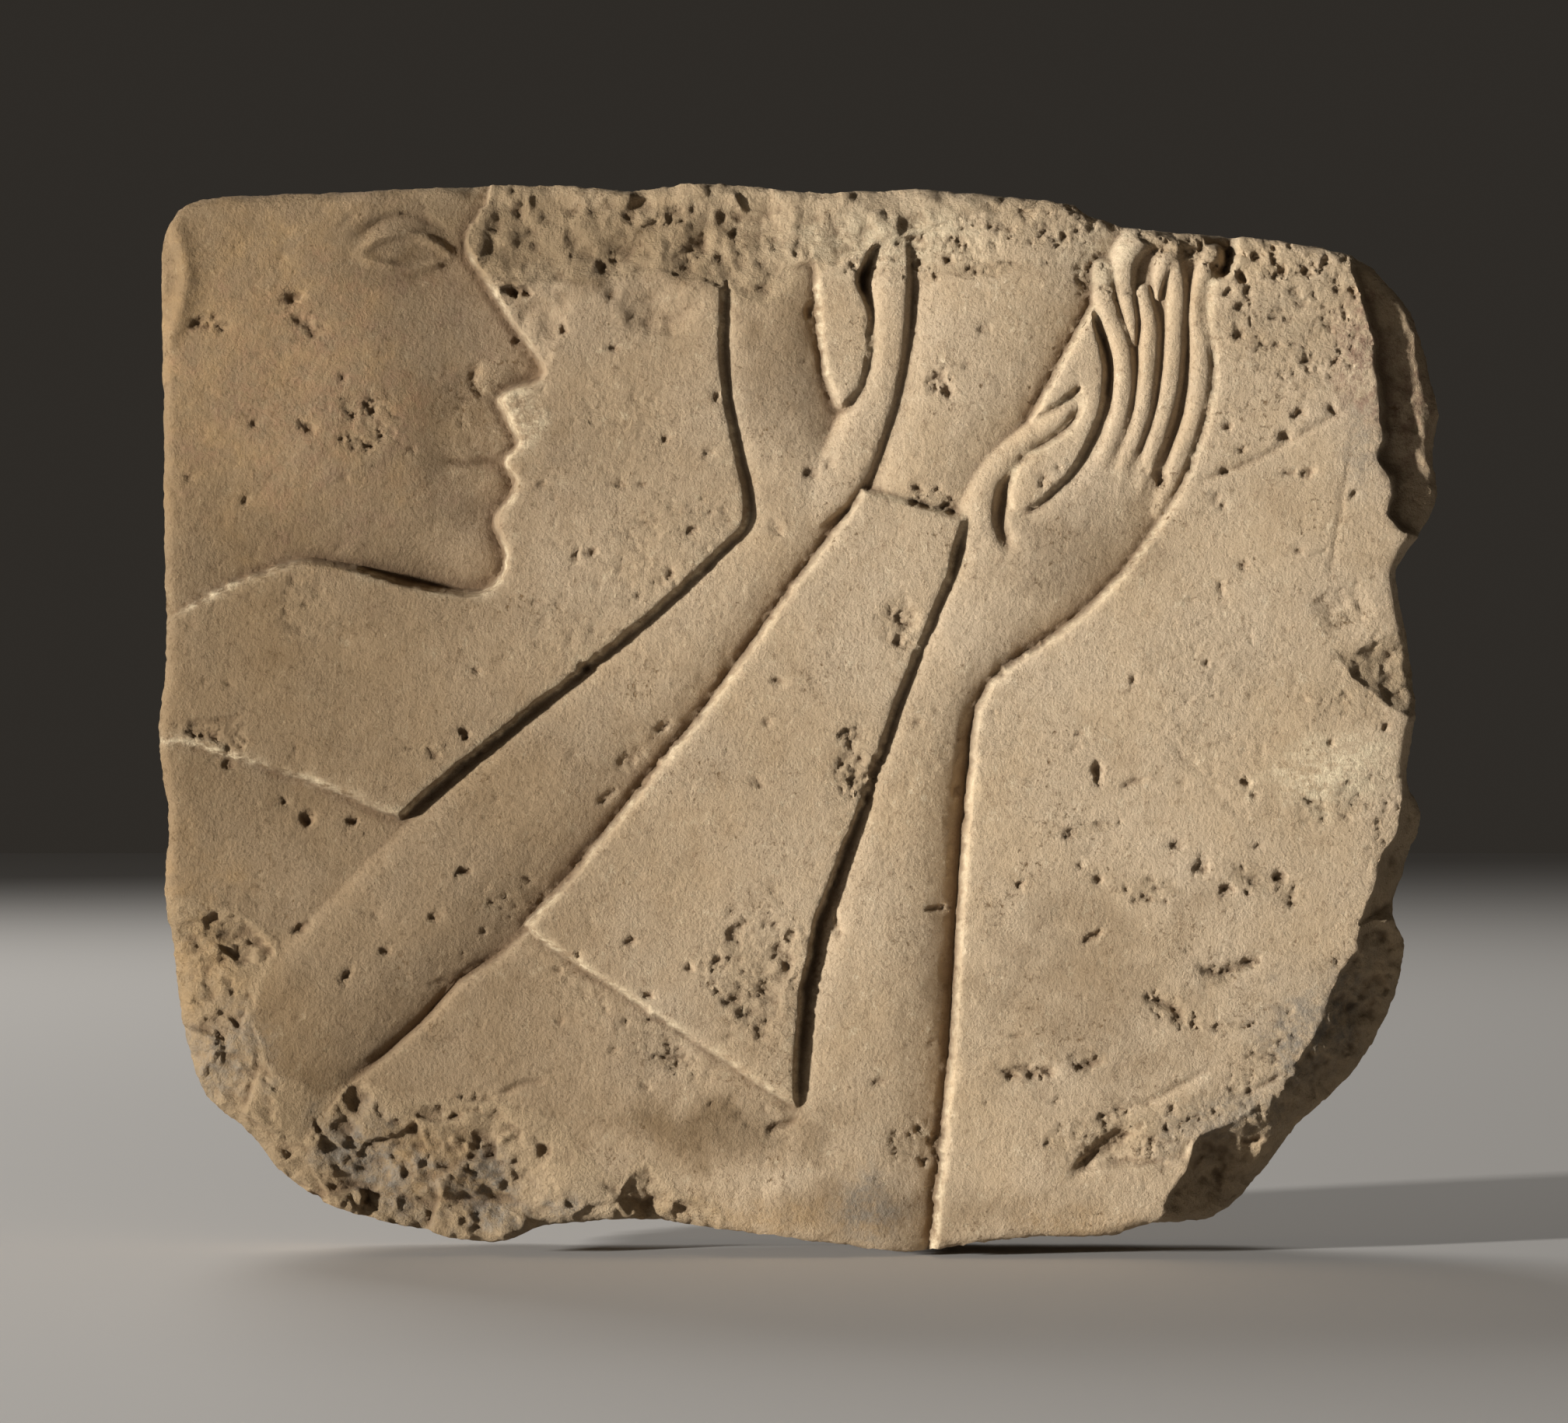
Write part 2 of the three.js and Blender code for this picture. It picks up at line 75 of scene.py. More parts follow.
bpy.ops.mesh.primitive_plane_add(size=8, location=(0, 0, stone_low[2] - floor_gap))
floor = bpy.context.object
floor.name = "studio_floor"
# Matt pale grey paint, rolled on smooth: it takes soft shadows and shows no gloss
floor_paint = bpy.data.materials.new("studio floor, matt pale grey")
floor_paint.use_nodes = True
paint = floor_paint.node_tree.nodes["Principled BSDF"].inputs
paint["Base Color"].default_value = srgb("cecbc7")
paint["Roughness"].default_value = 0.8
floor.data.materials.append(floor_paint)


def studio_lamp(name, azimuth, rise, distance, size, watts, colour):
    """A square soft lamp that looks at the middle of the panel, placed `azimuth` degrees above level
    round the panel's own axis from its left side, and `rise` degrees up from the plane of its face."""
    data = bpy.data.lights.new(name, "AREA")
    data.size = size
    data.energy = watts
    data.color = colour
    lamp = bpy.data.objects.new(name, data)
    turn, lift = np.radians(azimuth), np.radians(rise)
    towards = np.array([-np.cos(turn) * np.cos(lift), -np.sin(lift), np.sin(turn) * np.cos(lift)])
    lamp.location = towards * distance
    away = -towards
    lamp.rotation_euler = (
        np.arctan2(np.hypot(away[0], away[1]), -away[2]),
        0,
        np.arctan2(away[1], away[0]) - np.pi / 2,
    )
    bpy.context.scene.collection.objects.link(lamp)


studio_lamp("raking lamp", azimuth=6, rise=31.5, distance=2.6, size=0.14, watts=124, colour=lamp_white)
studio_lamp("fill lamp", azimuth=35, rise=75, distance=2.0, size=1.2, watts=0.5, colour=room_warmth)
studio_lamp("back lamp", azimuth=60, rise=-45, distance=2.4, size=1.2, watts=22, colour=lamp_white)

room = bpy.data.worlds.new("pale room")
room.use_nodes = True
backdrop = room.node_tree.nodes["Background"].inputs
backdrop["Color"].default_value = (*room_warmth, 1)
backdrop["Strength"].default_value = 0.028
bpy.context.scene.world = room
bpy.context.scene.view_settings.view_transform = "Standard"

# ---- The block ---------------------------------------------------------------------------------------
# A squared wall block of fine-grained pale limestone, about 28 cm wide, cut free on all its sides and
# trimmed flat behind. Its face was rubbed smooth before carving. The face is worked out in millimetres as
# a map of depths, `depth`, on a square grid of x and z: how far the stone lies behind that first face.

PITCH = 0.25  # mm between the crossings of the grid
LATTICE = 256  # crossings of a noise's own lattice before it repeats
thickness = (stone_high[1] - stone_low[1]) * 1000
sunk_depth = 7.0  # of the cuts beside the figures
grid_x = np.arange(stone_low[0] * 1000 - 2, stone_high[0] * 1000 + 2, PITCH).astype(np.float32)
grid_z = np.arange(stone_low[2] * 1000 - 2, stone_high[2] * 1000 + 2, PITCH).astype(np.float32)
X, Z = np.meshgrid(grid_x, grid_z)


def spot(points, margin):
    """The rows and columns of the grid that hold some points and a margin about them."""
    points = np.asarray(points, float)[:, :2]
    start = (grid_x[0], grid_z[0])
    first = np.floor((points.min(0) - margin - start) / PITCH).astype(int).clip(0, X.shape[::-1])
    last = np.ceil((points.max(0) + margin - start) / PITCH).astype(int).clip(0, X.shape[::-1])
    return slice(first[1], last[1]), slice(first[0], last[0])


def smooth(points, per_span=6, closed=False):
    """A line through every point, bending evenly (uniform Catmull-Rom), whatever each point holds."""
    points = np.asarray(points, float)
    if closed:
        padded = np.concatenate([points[-1:], points, points[:2]])
    else:
        padded = np.concatenate([2 * points[:1] - points[1:2], points, 2 * points[-1:] - points[-2:-1]])
    a, b, c, d = (padded[i : len(padded) - 3 + i, None] for i in range(4))
    t = (np.arange(per_span) / per_span)[None, :, None]
    curve = 0.5 * (2 * b + (c - a) * t + (2 * a - 5 * b + 4 * c - d) * t**2 + (3 * b - a - 3 * c + d) * t**3)
    curve = curve.reshape(-1, points.shape[1])
    return curve if closed else np.concatenate([curve, points[-1:]])


def distance_to(line, reach):
    """Distance in mm from each point of the grid to the nearest point of an open line, up to `reach`."""
    nearest = np.full(X.shape, reach * reach, np.float32)
    for (ax, az), (bx, bz) in zip(line[:-1], line[1:]):
        near = spot([(ax, az), (bx, bz)], reach)
        ex, ez = bx - ax, bz - az
        dx, dz = X[near] - ax, Z[near] - az
        along = np.clip((dx * ex + dz * ez) / (ex * ex + ez * ez + 1e-9), 0, 1)
        away = (dx - along * ex) ** 2 + (dz - along * ez) ** 2
        nearest[near] = np.minimum(nearest[near], away)
    return np.sqrt(nearest)


def inside(outline, reach):
    """Distance to the edge of a closed outline: positive inside, negative outside, held within reach.
    A point is inside where a level line running right from it crosses the outline an odd number of times."""
    outline = np.asarray(outline, np.float32)
    crossed = np.zeros(X.shape, bool)
    for (ax, az), (bx, bz) in zip(outline, np.roll(outline, -1, axis=0)):
        rows = slice(*np.searchsorted(grid_z, (min(az, bz), max(az, bz))))
        if rows.start < rows.stop:
            crossed[rows] ^= X[rows] < (Z[rows] - az) * ((bx - ax) / (bz - az)) + ax
    return np.where(crossed, 1, -1) * distance_to(np.concatenate([outline, outline[:1]]), reach)


def grain(scale, seed, turn=0.0, stretch=1.0, x=X, z=Z):
    """Even lumps about `scale` mm apart, from -1 to 1 (gradient noise: a random slope at each crossing of
    a lattice, blended with an even S), drawn out by `stretch` along a direction `turn` degrees from level."""
    spin = np.radians(turn)
    u = (x * np.cos(spin) + z * np.sin(spin)) / (scale * stretch) + 1024
    v = (z * np.cos(spin) - x * np.sin(spin)) / scale + 1024
    angles = np.random.default_rng(seed).uniform(0, 2 * np.pi, (LATTICE, LATTICE))
    lean_u, lean_v = np.cos(angles).astype(np.float32), np.sin(angles).astype(np.float32)
    iu, iv = u.astype(int), v.astype(int)
    fu, fv = u - iu, v - iv
    total = np.zeros(u.shape, np.float32)
    for du in (0, 1):
        for dv in (0, 1):
            cell = ((iu + du) & (LATTICE - 1), (iv + dv) & (LATTICE - 1))
            wu, wv = np.abs(1 - du - fu), np.abs(1 - dv - fv)
            blend = wu**3 * (wu * (wu * 6 - 15) + 10) * wv**3 * (wv * (wv * 6 - 15) + 10)
            total += (lean_u[cell] * (fu - du) + lean_v[cell] * (fv - dv)) * blend
    return total * 1.5


def rubble(scale, seed, layers=4, fade=0.55, turn=0.0, stretch=1.0, x=X, z=Z):
    """Grain in several sizes at once, each half the size of the last and `fade` times as strong."""
    total = sum(fade**i * grain(scale / 2**i, seed + i, turn, stretch, x, z) for i in range(layers))
    return total / sum(fade**i for i in range(layers)) * 1.3


def chips(scale, seed, tilt=0.5):
    """A surface of flat chips about `scale` mm across, each tilted its own way: every point takes the
    plane of the nearest of a set of scattered seeds (a Voronoi pattern)."""
    rng = np.random.default_rng(seed)
    place = rng.uniform(0, 1, (2, LATTICE, LATTICE)).astype(np.float32)
    plane = rng.normal(0, tilt, (3, LATTICE, LATTICE)).astype(np.float32)
    u, v = X / scale + 512, Z / scale + 512
    iu, iv = u.astype(int), v.astype(int)
    best = np.full(X.shape, 9.0, np.float32)
    surface = np.zeros(X.shape, np.float32)
    for du in (-1, 0, 1):
        for dv in (-1, 0, 1):
            cell = ((iu + du) & (LATTICE - 1), (iv + dv) & (LATTICE - 1))
            ou = iu + du + place[0][cell] - u
            ov = iv + dv + place[1][cell] - v
            away = ou * ou + ov * ov
            level = plane[0][cell] * ou + plane[1][cell] * ov + 0.5 * plane[2][cell]
            surface = np.where(away < best, level, surface)
            best = np.minimum(away, best)
    return surface * scale


def soften(values, radius):
    """The values blurred with a bell of the given radius in mm, through their wave lengths."""
    wave_z = np.fft.fftfreq(values.shape[0], PITCH)[:, None]
    wave_x = np.fft.rfftfreq(values.shape[1], PITCH)[None, :]
    bell = np.exp(-2 * (np.pi * radius) ** 2 * (wave_x**2 + wave_z**2))
    return np.fft.irfft2(np.fft.rfft2(values) * bell, s=values.shape).astype(np.float32)


def ease(share):
    """0 below 0, 1 above 1, and an even S between: three times the square less twice the cube."""
    t = np.clip(share, 0, 1)
    return t * t * (3 - 2 * t)


block_outline = smooth(
    [
        (-139.5, 99), (-138, 106.5), (-132.5, 112.6), (-114, 114.2), (-96, 115), (-76, 116.2), (-54, 116.6),
        (-37, 115.5), (-24, 117), (-9, 116.4), (5, 115), (24, 115.8), (43, 114.3), (58, 112.6), (63, 110.2),
        (75, 106.6), (90, 105.8), (106, 103.9), (121, 100.6), (129, 94.5), (134.4, 87), (138, 75), (140, 66),
        (138.6, 58), (139.5, 49), (137.5, 43), (132, 35), (130.4, 29), (133.2, 15), (134.6, 2), (132.6, -13),
        (136.4, -21), (133, -32), (129.9, -43), (132.9, -50), (131, -61), (127, -70), (120, -80),
        (107, -90.5), (102, -97), (97.5, -105), (89, -110.2), (77, -110.6), (66, -113.4), (52, -113.6),
        (38, -115), (24, -117), (8, -115.4), (-7, -113.4), (-22, -111.6), (-37, -110.2), (-54, -111.4),
        (-68, -115.2), (-84, -112.3), (-100, -107.8), (-111, -102), (-118, -92.5), (-126, -86.8),
        (-131.5, -80), (-135.2, -66), (-137, -51), (-138.9, -40), (-138, -22), (-140.2, -5), (-138.5, 12),
        (-139, 40), (-139, 70),
    ],
    closed=True,
)
rim = inside(block_outline, 16)
field = 0.35 + 0.22 * rubble(55, 11, 3) + 0.05 * grain(9, 17)
floor_of_cut = sunk_depth + 0.3 * rubble(30, 21, 3)

# ---- The head ----------------------------------------------------------------------------------------
# A head in profile, looking right, sunk into the block: the face is deepest along its outline and rises
# to the cheek and temple. It is set out on common proportions, with the eye half way up the whole head,
# the base of the nose at 1/3.5 of its height and the mouth a third below that. The crown is lost above.

head_height = 150.0
chin_z = 27.0
plumb_x = -70.0


def on_head(points):
    """Points given as (forward of the chin, up from the chin, ...) in parts of the head, set out in mm."""
    points = np.array(points, float)
    points[:, :2] = points[:, :2] * head_height + (plumb_x, chin_z)
    return points


profile = on_head([
    (0.012, 0.66), (0.018, 0.575), (-0.016, 0.51), (0.014, 0.455), (0.058, 0.385), (0.092, 0.335),
    (0.088, 0.308), (0.036, 0.286), (0.046, 0.25), (0.062, 0.217), (0.042, 0.19), (0.055, 0.162),
    (0.049, 0.135), (0.026, 0.105), (0.043, 0.055), (0.032, 0.018), (0, 0), (-0.06, 0.003),
])
throat = smooth([(-79, 27.4), (-88, 29.5), (-98, 32.5), (-107, 33.5), (-117, 31), (-129, 25.5), (-146, 16)])
profile = smooth(profile)


def swelling(forward, up, wide, tall, rise, turn=0.0):
    """A soft swelling, or a hollow if `rise` is negative: a bell round a place on the head, given with its
    half sizes in parts of the head's height and its turn in degrees."""
    dx = (X - plumb_x) / head_height - forward
    dz = (Z - chin_z) / head_height - up
    c, s = np.cos(np.radians(turn)), np.sin(np.radians(turn))
    return rise * np.exp(-(((dx * c + dz * s) / wide) ** 2) - ((dz * c - dx * s) / tall) ** 2)


def stroke(line, width, rise):
    """A raised line (+) or a cut (-) along a line, `width` mm across: a bell that fades at the ends."""
    line = smooth(line)
    last = len(line) - 1
    result = np.zeros(X.shape, np.float32)
    for i, (a, b) in enumerate(zip(line[:-1], line[1:])):
        near = spot([a, b], 1.6 * width)
        ex, ez = b[0] - a[0], b[1] - a[1]
        dx, dz = X[near] - a[0], Z[near] - a[1]
        along = np.clip((dx * ex + dz * ez) / (ex * ex + ez * ez + 1e-9), 0, 1)
        away = (dx - along * ex) ** 2 + (dz - along * ez) ** 2
        fade = np.clip(5 * np.minimum((i + along) / last, 1 - (i + along) / last), 0, 1) ** 0.6
        result[near] = np.maximum(result[near], fade * np.exp(-away * (1.8 / width) ** 2))
    return rise * result


to_profile = distance_to(profile, 60)
to_throat = distance_to(throat, 30)
roundness = ease(to_profile / 5)
face_rise = (
    swelling(-0.1, 0.5, 0.062, 0.036, -1.1)  # socket of the eye
    + swelling(-0.1, 0.5, 0.045, 0.02, 1.1)  # eyeball
    + swelling(-0.075, 0.572, 0.1, 0.018, 0.6, 4)  # brow
    + swelling(-0.01, 0.5, 0.03, 0.06, -0.5)  # root of the nose
    + swelling(0.022, 0.312, 0.024, 0.021, 1.1)  # wing of the nose
    + swelling(0.035, 0.222, 0.035, 0.013, 0.9, -12)  # upper lip
    + swelling(0.03, 0.162, 0.032, 0.015, 1.0, 8)  # lower lip
    + swelling(0.01, 0.118, 0.04, 0.014, -0.5)  # groove under the lip
    + swelling(0.01, 0.055, 0.042, 0.034, 0.8)  # chin
    + swelling(-0.045, 0.19, 0.022, 0.03, -0.55)  # corner of the mouth
    + swelling(-0.15, 0.31, 0.09, 0.085, 0.5)  # cheek
    + swelling(-0.42, 0.44, 0.06, 0.17, -0.8)  # hollow that the ear stands in
    + swelling(-0.3, 0.06, 0.1, 0.05, -0.4, 15)  # under the jaw
)
face_lines = sum(
    stroke(on_head(line), width, rise)
    for line, width, rise in (
        # upper lid, lower lid, fold above the lid and edge of the brow
        ([(-0.175, 0.489), (-0.14, 0.514), (-0.095, 0.521), (-0.055, 0.503), (-0.035, 0.487)], 2.0, 1.3),
        ([(-0.17, 0.486), (-0.13, 0.474), (-0.085, 0.471), (-0.04, 0.486)], 1.6, 1.1),
        ([(-0.18, 0.51), (-0.135, 0.541), (-0.085, 0.546), (-0.04, 0.522)], 1.8, -0.8),
        ([(-0.19, 0.56), (-0.13, 0.585), (-0.06, 0.588), (-0.005, 0.562)], 3.4, 0.8),
        # back of the nose's wing, nostril, line of the mouth and fold beside it
        ([(0.0, 0.335), (-0.008, 0.31), (0.004, 0.288), (0.022, 0.283)], 1.8, -0.8),
        ([(0.03, 0.293), (0.048, 0.288), (0.066, 0.291)], 2.0, -0.9),
        ([(0.05, 0.189), (0.02, 0.192), (-0.015, 0.189), (-0.042, 0.192)], 1.5, -1.0),
        ([(-0.02, 0.285), (-0.05, 0.25), (-0.066, 0.21)], 4.5, -0.25),
        # rim of the ear and the hollow inside it
        ([(-0.46, 0.545), (-0.432, 0.52), (-0.42, 0.46), (-0.43, 0.4), (-0.45, 0.36)], 3.6, 1.1),
        ([(-0.475, 0.53), (-0.448, 0.5), (-0.442, 0.44), (-0.452, 0.38)], 3.0, -1.0),
    )
)
# The temple lies a millimetre deep, and the face falls from there towards its outline and the jaw
cheek_level = 0.95 + 8.0 * np.exp(-((to_profile / 19) ** 1.5)) + 2.6 * np.exp(-to_throat / 9)
cheek_level = soften(cheek_level, 2.5)
head = cheek_level - (face_rise + face_lines) * roundness - 0.25 * (1 - roundness) + 0.12 * rubble(22, 31, 2)
in_head = inside(np.concatenate([profile, throat, [(-146, 124), (-66, 124)]]), 5)

# ---- The arms and hands ------------------------------------------------------------------------------
# Two bare arms reach up from the lower edge, the near one bending in front with its fingers laid back.
# Each is a rounded band whose crown lies a millimetre or two below the face of the block, cut with a
# chisel and rasped smooth. The far hand is broken away above the palm, and each thumb stands apart.


def limb(stations, lean=0.0, edge=4.2, fullness=(2.0, 2.0)):
    """Depth of a rounded limb along stations (x, z, half width, crown depth). Across the limb the depth
    falls from crown to edge as a power of the distance from the crown, which leans to the left (+) or the
    right (-) of the way the stations run; a higher power keeps that side up for longer. `edge` is one depth
    for both sides of the whole limb, or a depth for each station."""
    path = np.column_stack([np.array(stations, float), np.broadcast_to(edge, len(stations))])
    path = smooth(path, 5).astype(np.float32)
    result = np.full(X.shape, 99.0, np.float32)
    nearest = np.full(X.shape, 1e6, np.float32)
    for a, b in zip(path[:-1], path[1:]):
        near = spot([a, b], 1.25 * max(a[2], b[2]) + 1)
        ex, ez = b[0] - a[0], b[1] - a[1]
        dx, dz = X[near] - a[0], Z[near] - a[1]
        along = np.clip((dx * ex + dz * ez) / (ex * ex + ez * ez), 0, 1)
        half = a[2] + along * (b[2] - a[2])
        away = np.hypot(dx - along * ex, dz - along * ez)
        side = np.sign(ex * dz - ez * dx) * away / half
        left = side > lean
        reach = np.where(left, (side - lean) / (1 - lean), (lean - side) / (1 + lean))
        crown = a[3] + along * (b[3] - a[3])
        drop = a[4] + along * (b[4] - a[4]) - crown
        fall = np.where(left, reach ** fullness[0], reach ** fullness[1])
        surface = crown + drop * fall + 1.2 * half * np.maximum(reach - 1, 0)
        closer = away < nearest[near]
        result[near] = np.where(closer, surface, result[near])
        nearest[near] = np.minimum(away, nearest[near])
    return result


def nearer(a, b, blend=0.5):
    """The shallower of two depths, melted together over `blend` mm of depth where they are alike."""
    share = np.clip(0.5 + 0.5 * (b - a) / blend, 0, 1)
    return b + (a - b) * share - blend * share * (1 - share)


far_arm = limb(
    [
        (-128, -92, 24, 1.4), (-112, -74, 20.5, 1.4), (-93.5, -53.5, 18.8, 1.8), (-74.5, -34.8, 18.2, 2.2),
        (-54.5, -15.5, 17, 2.4), (-34.9, 3.9, 14.4, 2.4), (-19, 21.2, 12, 2.3), (-7.5, 34.5, 10.4, 2.1),
        (-1.5, 46, 11.5, 1.8), (-3, 58, 12.4, 1.6), (-5, 70, 12.6, 1.5), (-6.2, 82, 11.8, 1.5),
        (-6.5, 104, 11.4, 1.7),
    ],
    lean=0.1,
    edge=(7.6, 7.6, 7.6, 7.6, 7.6, 7.4, 6.8, 6, 5, 4.4, 4, 3.8, 3.6),
    fullness=(7, 2.1),
)
far_thumb = limb(
    [
        (3, 45, 4, 2.2), (9, 53, 6.2, 1.2), (14.2, 64, 5.8, 0.7), (17, 73, 5.6, 0.6), (18.6, 82, 5.4, 0.5),
        (19.4, 90, 5, 0.5), (20, 97, 4.6, 0.7), (20.4, 107, 3.8, 0.9),
    ],
    edge=3.2,
    fullness=(2.5, 5),
)
palm_hollow = stroke([(3, 92, 0), (5, 80, 0), (5.5, 68, 0), (8, 60, 0)], 7, 0.7)

near_arm = limb(
    [
        (8, -126, 24, 1.4), (9, -104, 24, 1.7), (15, -80, 19.4, 2.0), (17.3, -60, 17.6, 1.9),
        (22.6, -30, 14.4, 1.7), (29.2, 0, 11, 1.5), (38, 18, 13.4, 1.2), (49, 33, 18, 1.1), (60, 45, 20, 1.1),
        (69, 55, 18, 1.4),
    ],
    lean=0.05,
    edge=(7.4, 7.4, 7.4, 7.4, 7.2, 6.8, 6.6, 6, 5.4, 4.6),
    fullness=(5, 2.2),
)
near_thumb = limb(
    [
        (37, 34, 3, 2.2), (39.2, 43, 5.8, 0.7), (41.8, 50.6, 5.2, 0.5), (45.6, 56, 3.9, 0.5),
        (50.4, 60.6, 3.1, 0.4), (55.6, 64.4, 3.3, 0.4), (60.2, 68.6, 1.8, 0.9),
    ],
    edge=(3.6, 3.4, 3, 2.6, 2.4, 2.4, 2.4),
    fullness=(2.5, 2.5),
)
palm_edge = stroke([(46, 43.5, 0), (52, 46.5, 0), (58, 51.5, 0), (63, 59.5, 0), (65.5, 67, 0)], 3, 0.5)
thumb_crease = stroke([(45, 52, 0), (43.6, 46.5, 0), (43.9, 41, 0), (45.4, 36.2, 0)], 2.4, 1.9)
fingers = [
    [(63.6, 51, 1.6, 1.6), (67.2, 59, 2.4, 0.5), (69.2, 65, 2.4, 0.4), (70.3, 71, 2.4, 0.4),
     (70.4, 77, 2.4, 0.4), (69, 83, 2.4, 0.5), (66.6, 89, 2.4, 0.5), (65.8, 97, 2, 0.9)],
    [(68, 49, 1.4, 1.7), (72, 59, 2.2, 0.5), (74.2, 65, 2.3, 0.4), (75.4, 73, 2.3, 0.4), (75.8, 79, 2.3, 0.4),
     (76, 85, 2.2, 0.5), (74.6, 92, 1.8, 0.8)],
    [(73, 48, 1.4, 1.8), (76.6, 58, 2.2, 0.5), (79, 65, 2.3, 0.4), (80.5, 72, 2.3, 0.4), (81.2, 78, 2.3, 0.4),
     (81.6, 85, 2.4, 0.5), (81.8, 92, 2.4, 0.6), (81.2, 98, 2, 0.9)],
    [(78, 45, 1.6, 2.2), (83, 57, 2.5, 0.5), (85.6, 64, 2.6, 0.4), (87.1, 71, 2.8, 0.4), (87.4, 80, 2.8, 0.4),
     (86.9, 88, 2.7, 0.5), (87.6, 94, 2.5, 0.5), (89.4, 100, 2, 0.8)],
    [(81, 102.6, 1.2, 1.2), (76.8, 104, 2.3, 0.4), (72.6, 102.4, 2.8, 0.2), (70.4, 98, 2.6, 0.3),
     (70.7, 92, 2, 0.4), (71.8, 86, 1.6, 0.6), (72.4, 81, 0.7, 1.4)],
    [(80.6, 101.4, 2.4, 0.8), (78.8, 98, 2.1, 0.4), (77.7, 94, 1.3, 0.5), (77.5, 91, 0.6, 1)],
]
finger_girth = 1.16
near_fingers = limb(
    [(72, 50, 8, 2.4), (76, 62, 11, 2.3), (78, 78, 12, 2.3), (79, 92, 11, 2.4), (79, 101, 9, 2.6)], edge=3.4
)
for stations in fingers:
    finger = np.array(stations) * (1, 1, finger_girth, 1)
    near_fingers = np.minimum(near_fingers, limb(finger, edge=2.5, fullness=(2.8, 2.4)))

# ---- Body, sleeve and the form between the hands -----------------------------------------------------
# Behind the arms lie broader forms cut less round: the body and its garment along the lower edge, the end
# of a sleeve at the left edge, and a wide form that runs up between the hands to the top of the block.

in_body = inside(
    [(-59, -46), (-66, -52), (-74, -57), (-82, -66), (-90, -73), (-100, -81), (-112, -97), (-112, -126),
     (12, -126), (12, -80), (-1, -80), (-30, -60)],
    4,
)
body = 2.9 + 0.35 * rubble(34, 35, 2) - 0.5 * ease((X + 60) / 50) + 5 * (1 - ease((in_body + 1) / 2.4))
between_hands = limb(
    [
        (24, 42, 13, 1.6), (30, 58, 16.5, 1.1), (36.6, 74, 20, 0.9), (42, 90, 22.5, 0.8), (43, 104, 28, 0.7),
        (42, 122, 32, 0.6),
    ],
    lean=0.2,
    edge=5.8,
    fullness=(2.5, 2.7),
)
# The sleeve deepens to the right, and ends on the line that the far arm's middle follows
sleeve = 0.9 + 0.062 * (X + 146) + 0.3 * rubble(24, 36, 2)
sleeve = np.where((Z < 0) & (Z + 34.8 > 1.07 * (X + 74.5)) & (X < -80), sleeve, 99.0)

forms = np.minimum(floor_of_cut, body)
forms = np.minimum(forms, sleeve)
forms = np.where(in_head > -4, head, forms)
forms = nearer(forms, between_hands, 0.5)
forms = nearer(forms, far_arm + palm_hollow, 0.4)
forms = nearer(forms, far_thumb, 0.4)
forms = nearer(forms, nearer(near_arm + palm_edge, near_thumb, 0.4) + thumb_crease, 0.4)
forms = nearer(forms, near_fingers, 0.3)

# ---- The field round the figures ---------------------------------------------------------------------
# The smooth face of the block, left standing round the figures. The mason cut down along each outline at
# a steep slope, a little deeper at its foot, and the sharp upper edge has since worn round.

far_arm_upper = smooth([
    (-87, -21.4), (-66, -4), (-45.7, 11.7), (-29, 25.4), (-16.5, 37.2), (-12.2, 41.6), (-11.6, 47),
    (-13.7, 57.5), (-16.2, 70), (-17, 82), (-16.8, 90.5),
])
far_palm_inner = smooth([
    (4, 91), (4.5, 84), (5.3, 78), (6.5, 73), (8.8, 67.2), (12, 70), (14, 75), (15, 82), (14.6, 89),
    (12.8, 95), (14.4, 99), (17, 103.5), (22, 104.5), (25.4, 107), (26, 124),
])
left_field = np.concatenate([
    [(-66, 124)], profile, throat, [(-146, -4), (-131, -5.5), (-122, -8.6), (-105, -13.8), (-95, -18)],
    far_arm_upper, [(-16.5, 98), (3.5, 99)], far_palm_inner,
])
middle_field = np.array([
    (14, 49), (35.6, 43), (32, 30), (26.6, 17), (20.5, 2), (15, -14), (9.5, -29), (4, -43), (0.7, -58),
    (-0.7, -73), (-1, -84), (-30, -65), (-56.5, -47.6), (-59, -45), (-50, -35.5), (-30, -10.5), (-20, 1.5),
    (0, 30), (10, 43),
])
near_arm_outer = smooth([
    (28, -124), (29, -116), (31.4, -93), (33.6, -67), (35, -41.5), (36.9, -16), (38.4, -1), (40.6, 5),
    (44.6, 10), (59, 20), (71, 32), (79, 43), (83.3, 50.5), (87.5, 61), (90, 72), (90, 79), (88.8, 86),
    (89.5, 94), (94, 99), (97, 124),
])
right_field = np.concatenate([near_arm_outer, [(150, 124), (150, -124)]])
hand_island = np.concatenate([
    smooth([(63.4, 88.6), (64.8, 82), (66.2, 74), (65.2, 67), (62.6, 60), (58, 52.6), (50, 45.6), (46.6, 45),
            (45.6, 49), (47, 53.6)]),
    smooth([(50, 56.8), (57.5, 61.4), (61, 66), (60.4, 71.2)]),
    [(50.4, 64.4)],
])
in_field = np.full(X.shape, -6.0, np.float32)
for outline in (left_field, middle_field, right_field, hand_island):
    in_field = np.maximum(in_field, inside(outline, 6))
hand_cut = 0.26 * grain(7, 41) + (0.2 + 0.5 * ease(2 * grain(19, 44))) * rubble(2.8, 42, 4, 0.65)
forms = forms + 0.7 * np.exp(np.minimum(in_field + 0.9, 0) / 1.2) * (in_field > -5.9)
wall_foot, wall_run = 1.0, 1.7  # mm outside the outline where the wall starts, and how far it runs
slope = np.clip((in_field + hand_cut + wall_foot) / wall_run, 0, 1)
wall = 1 - (1 - slope) ** 1.25
worn_edge = 0.26 * np.exp(-np.maximum(in_field, 0) / 1.1)
depth = forms + (field + worn_edge - forms) * wall

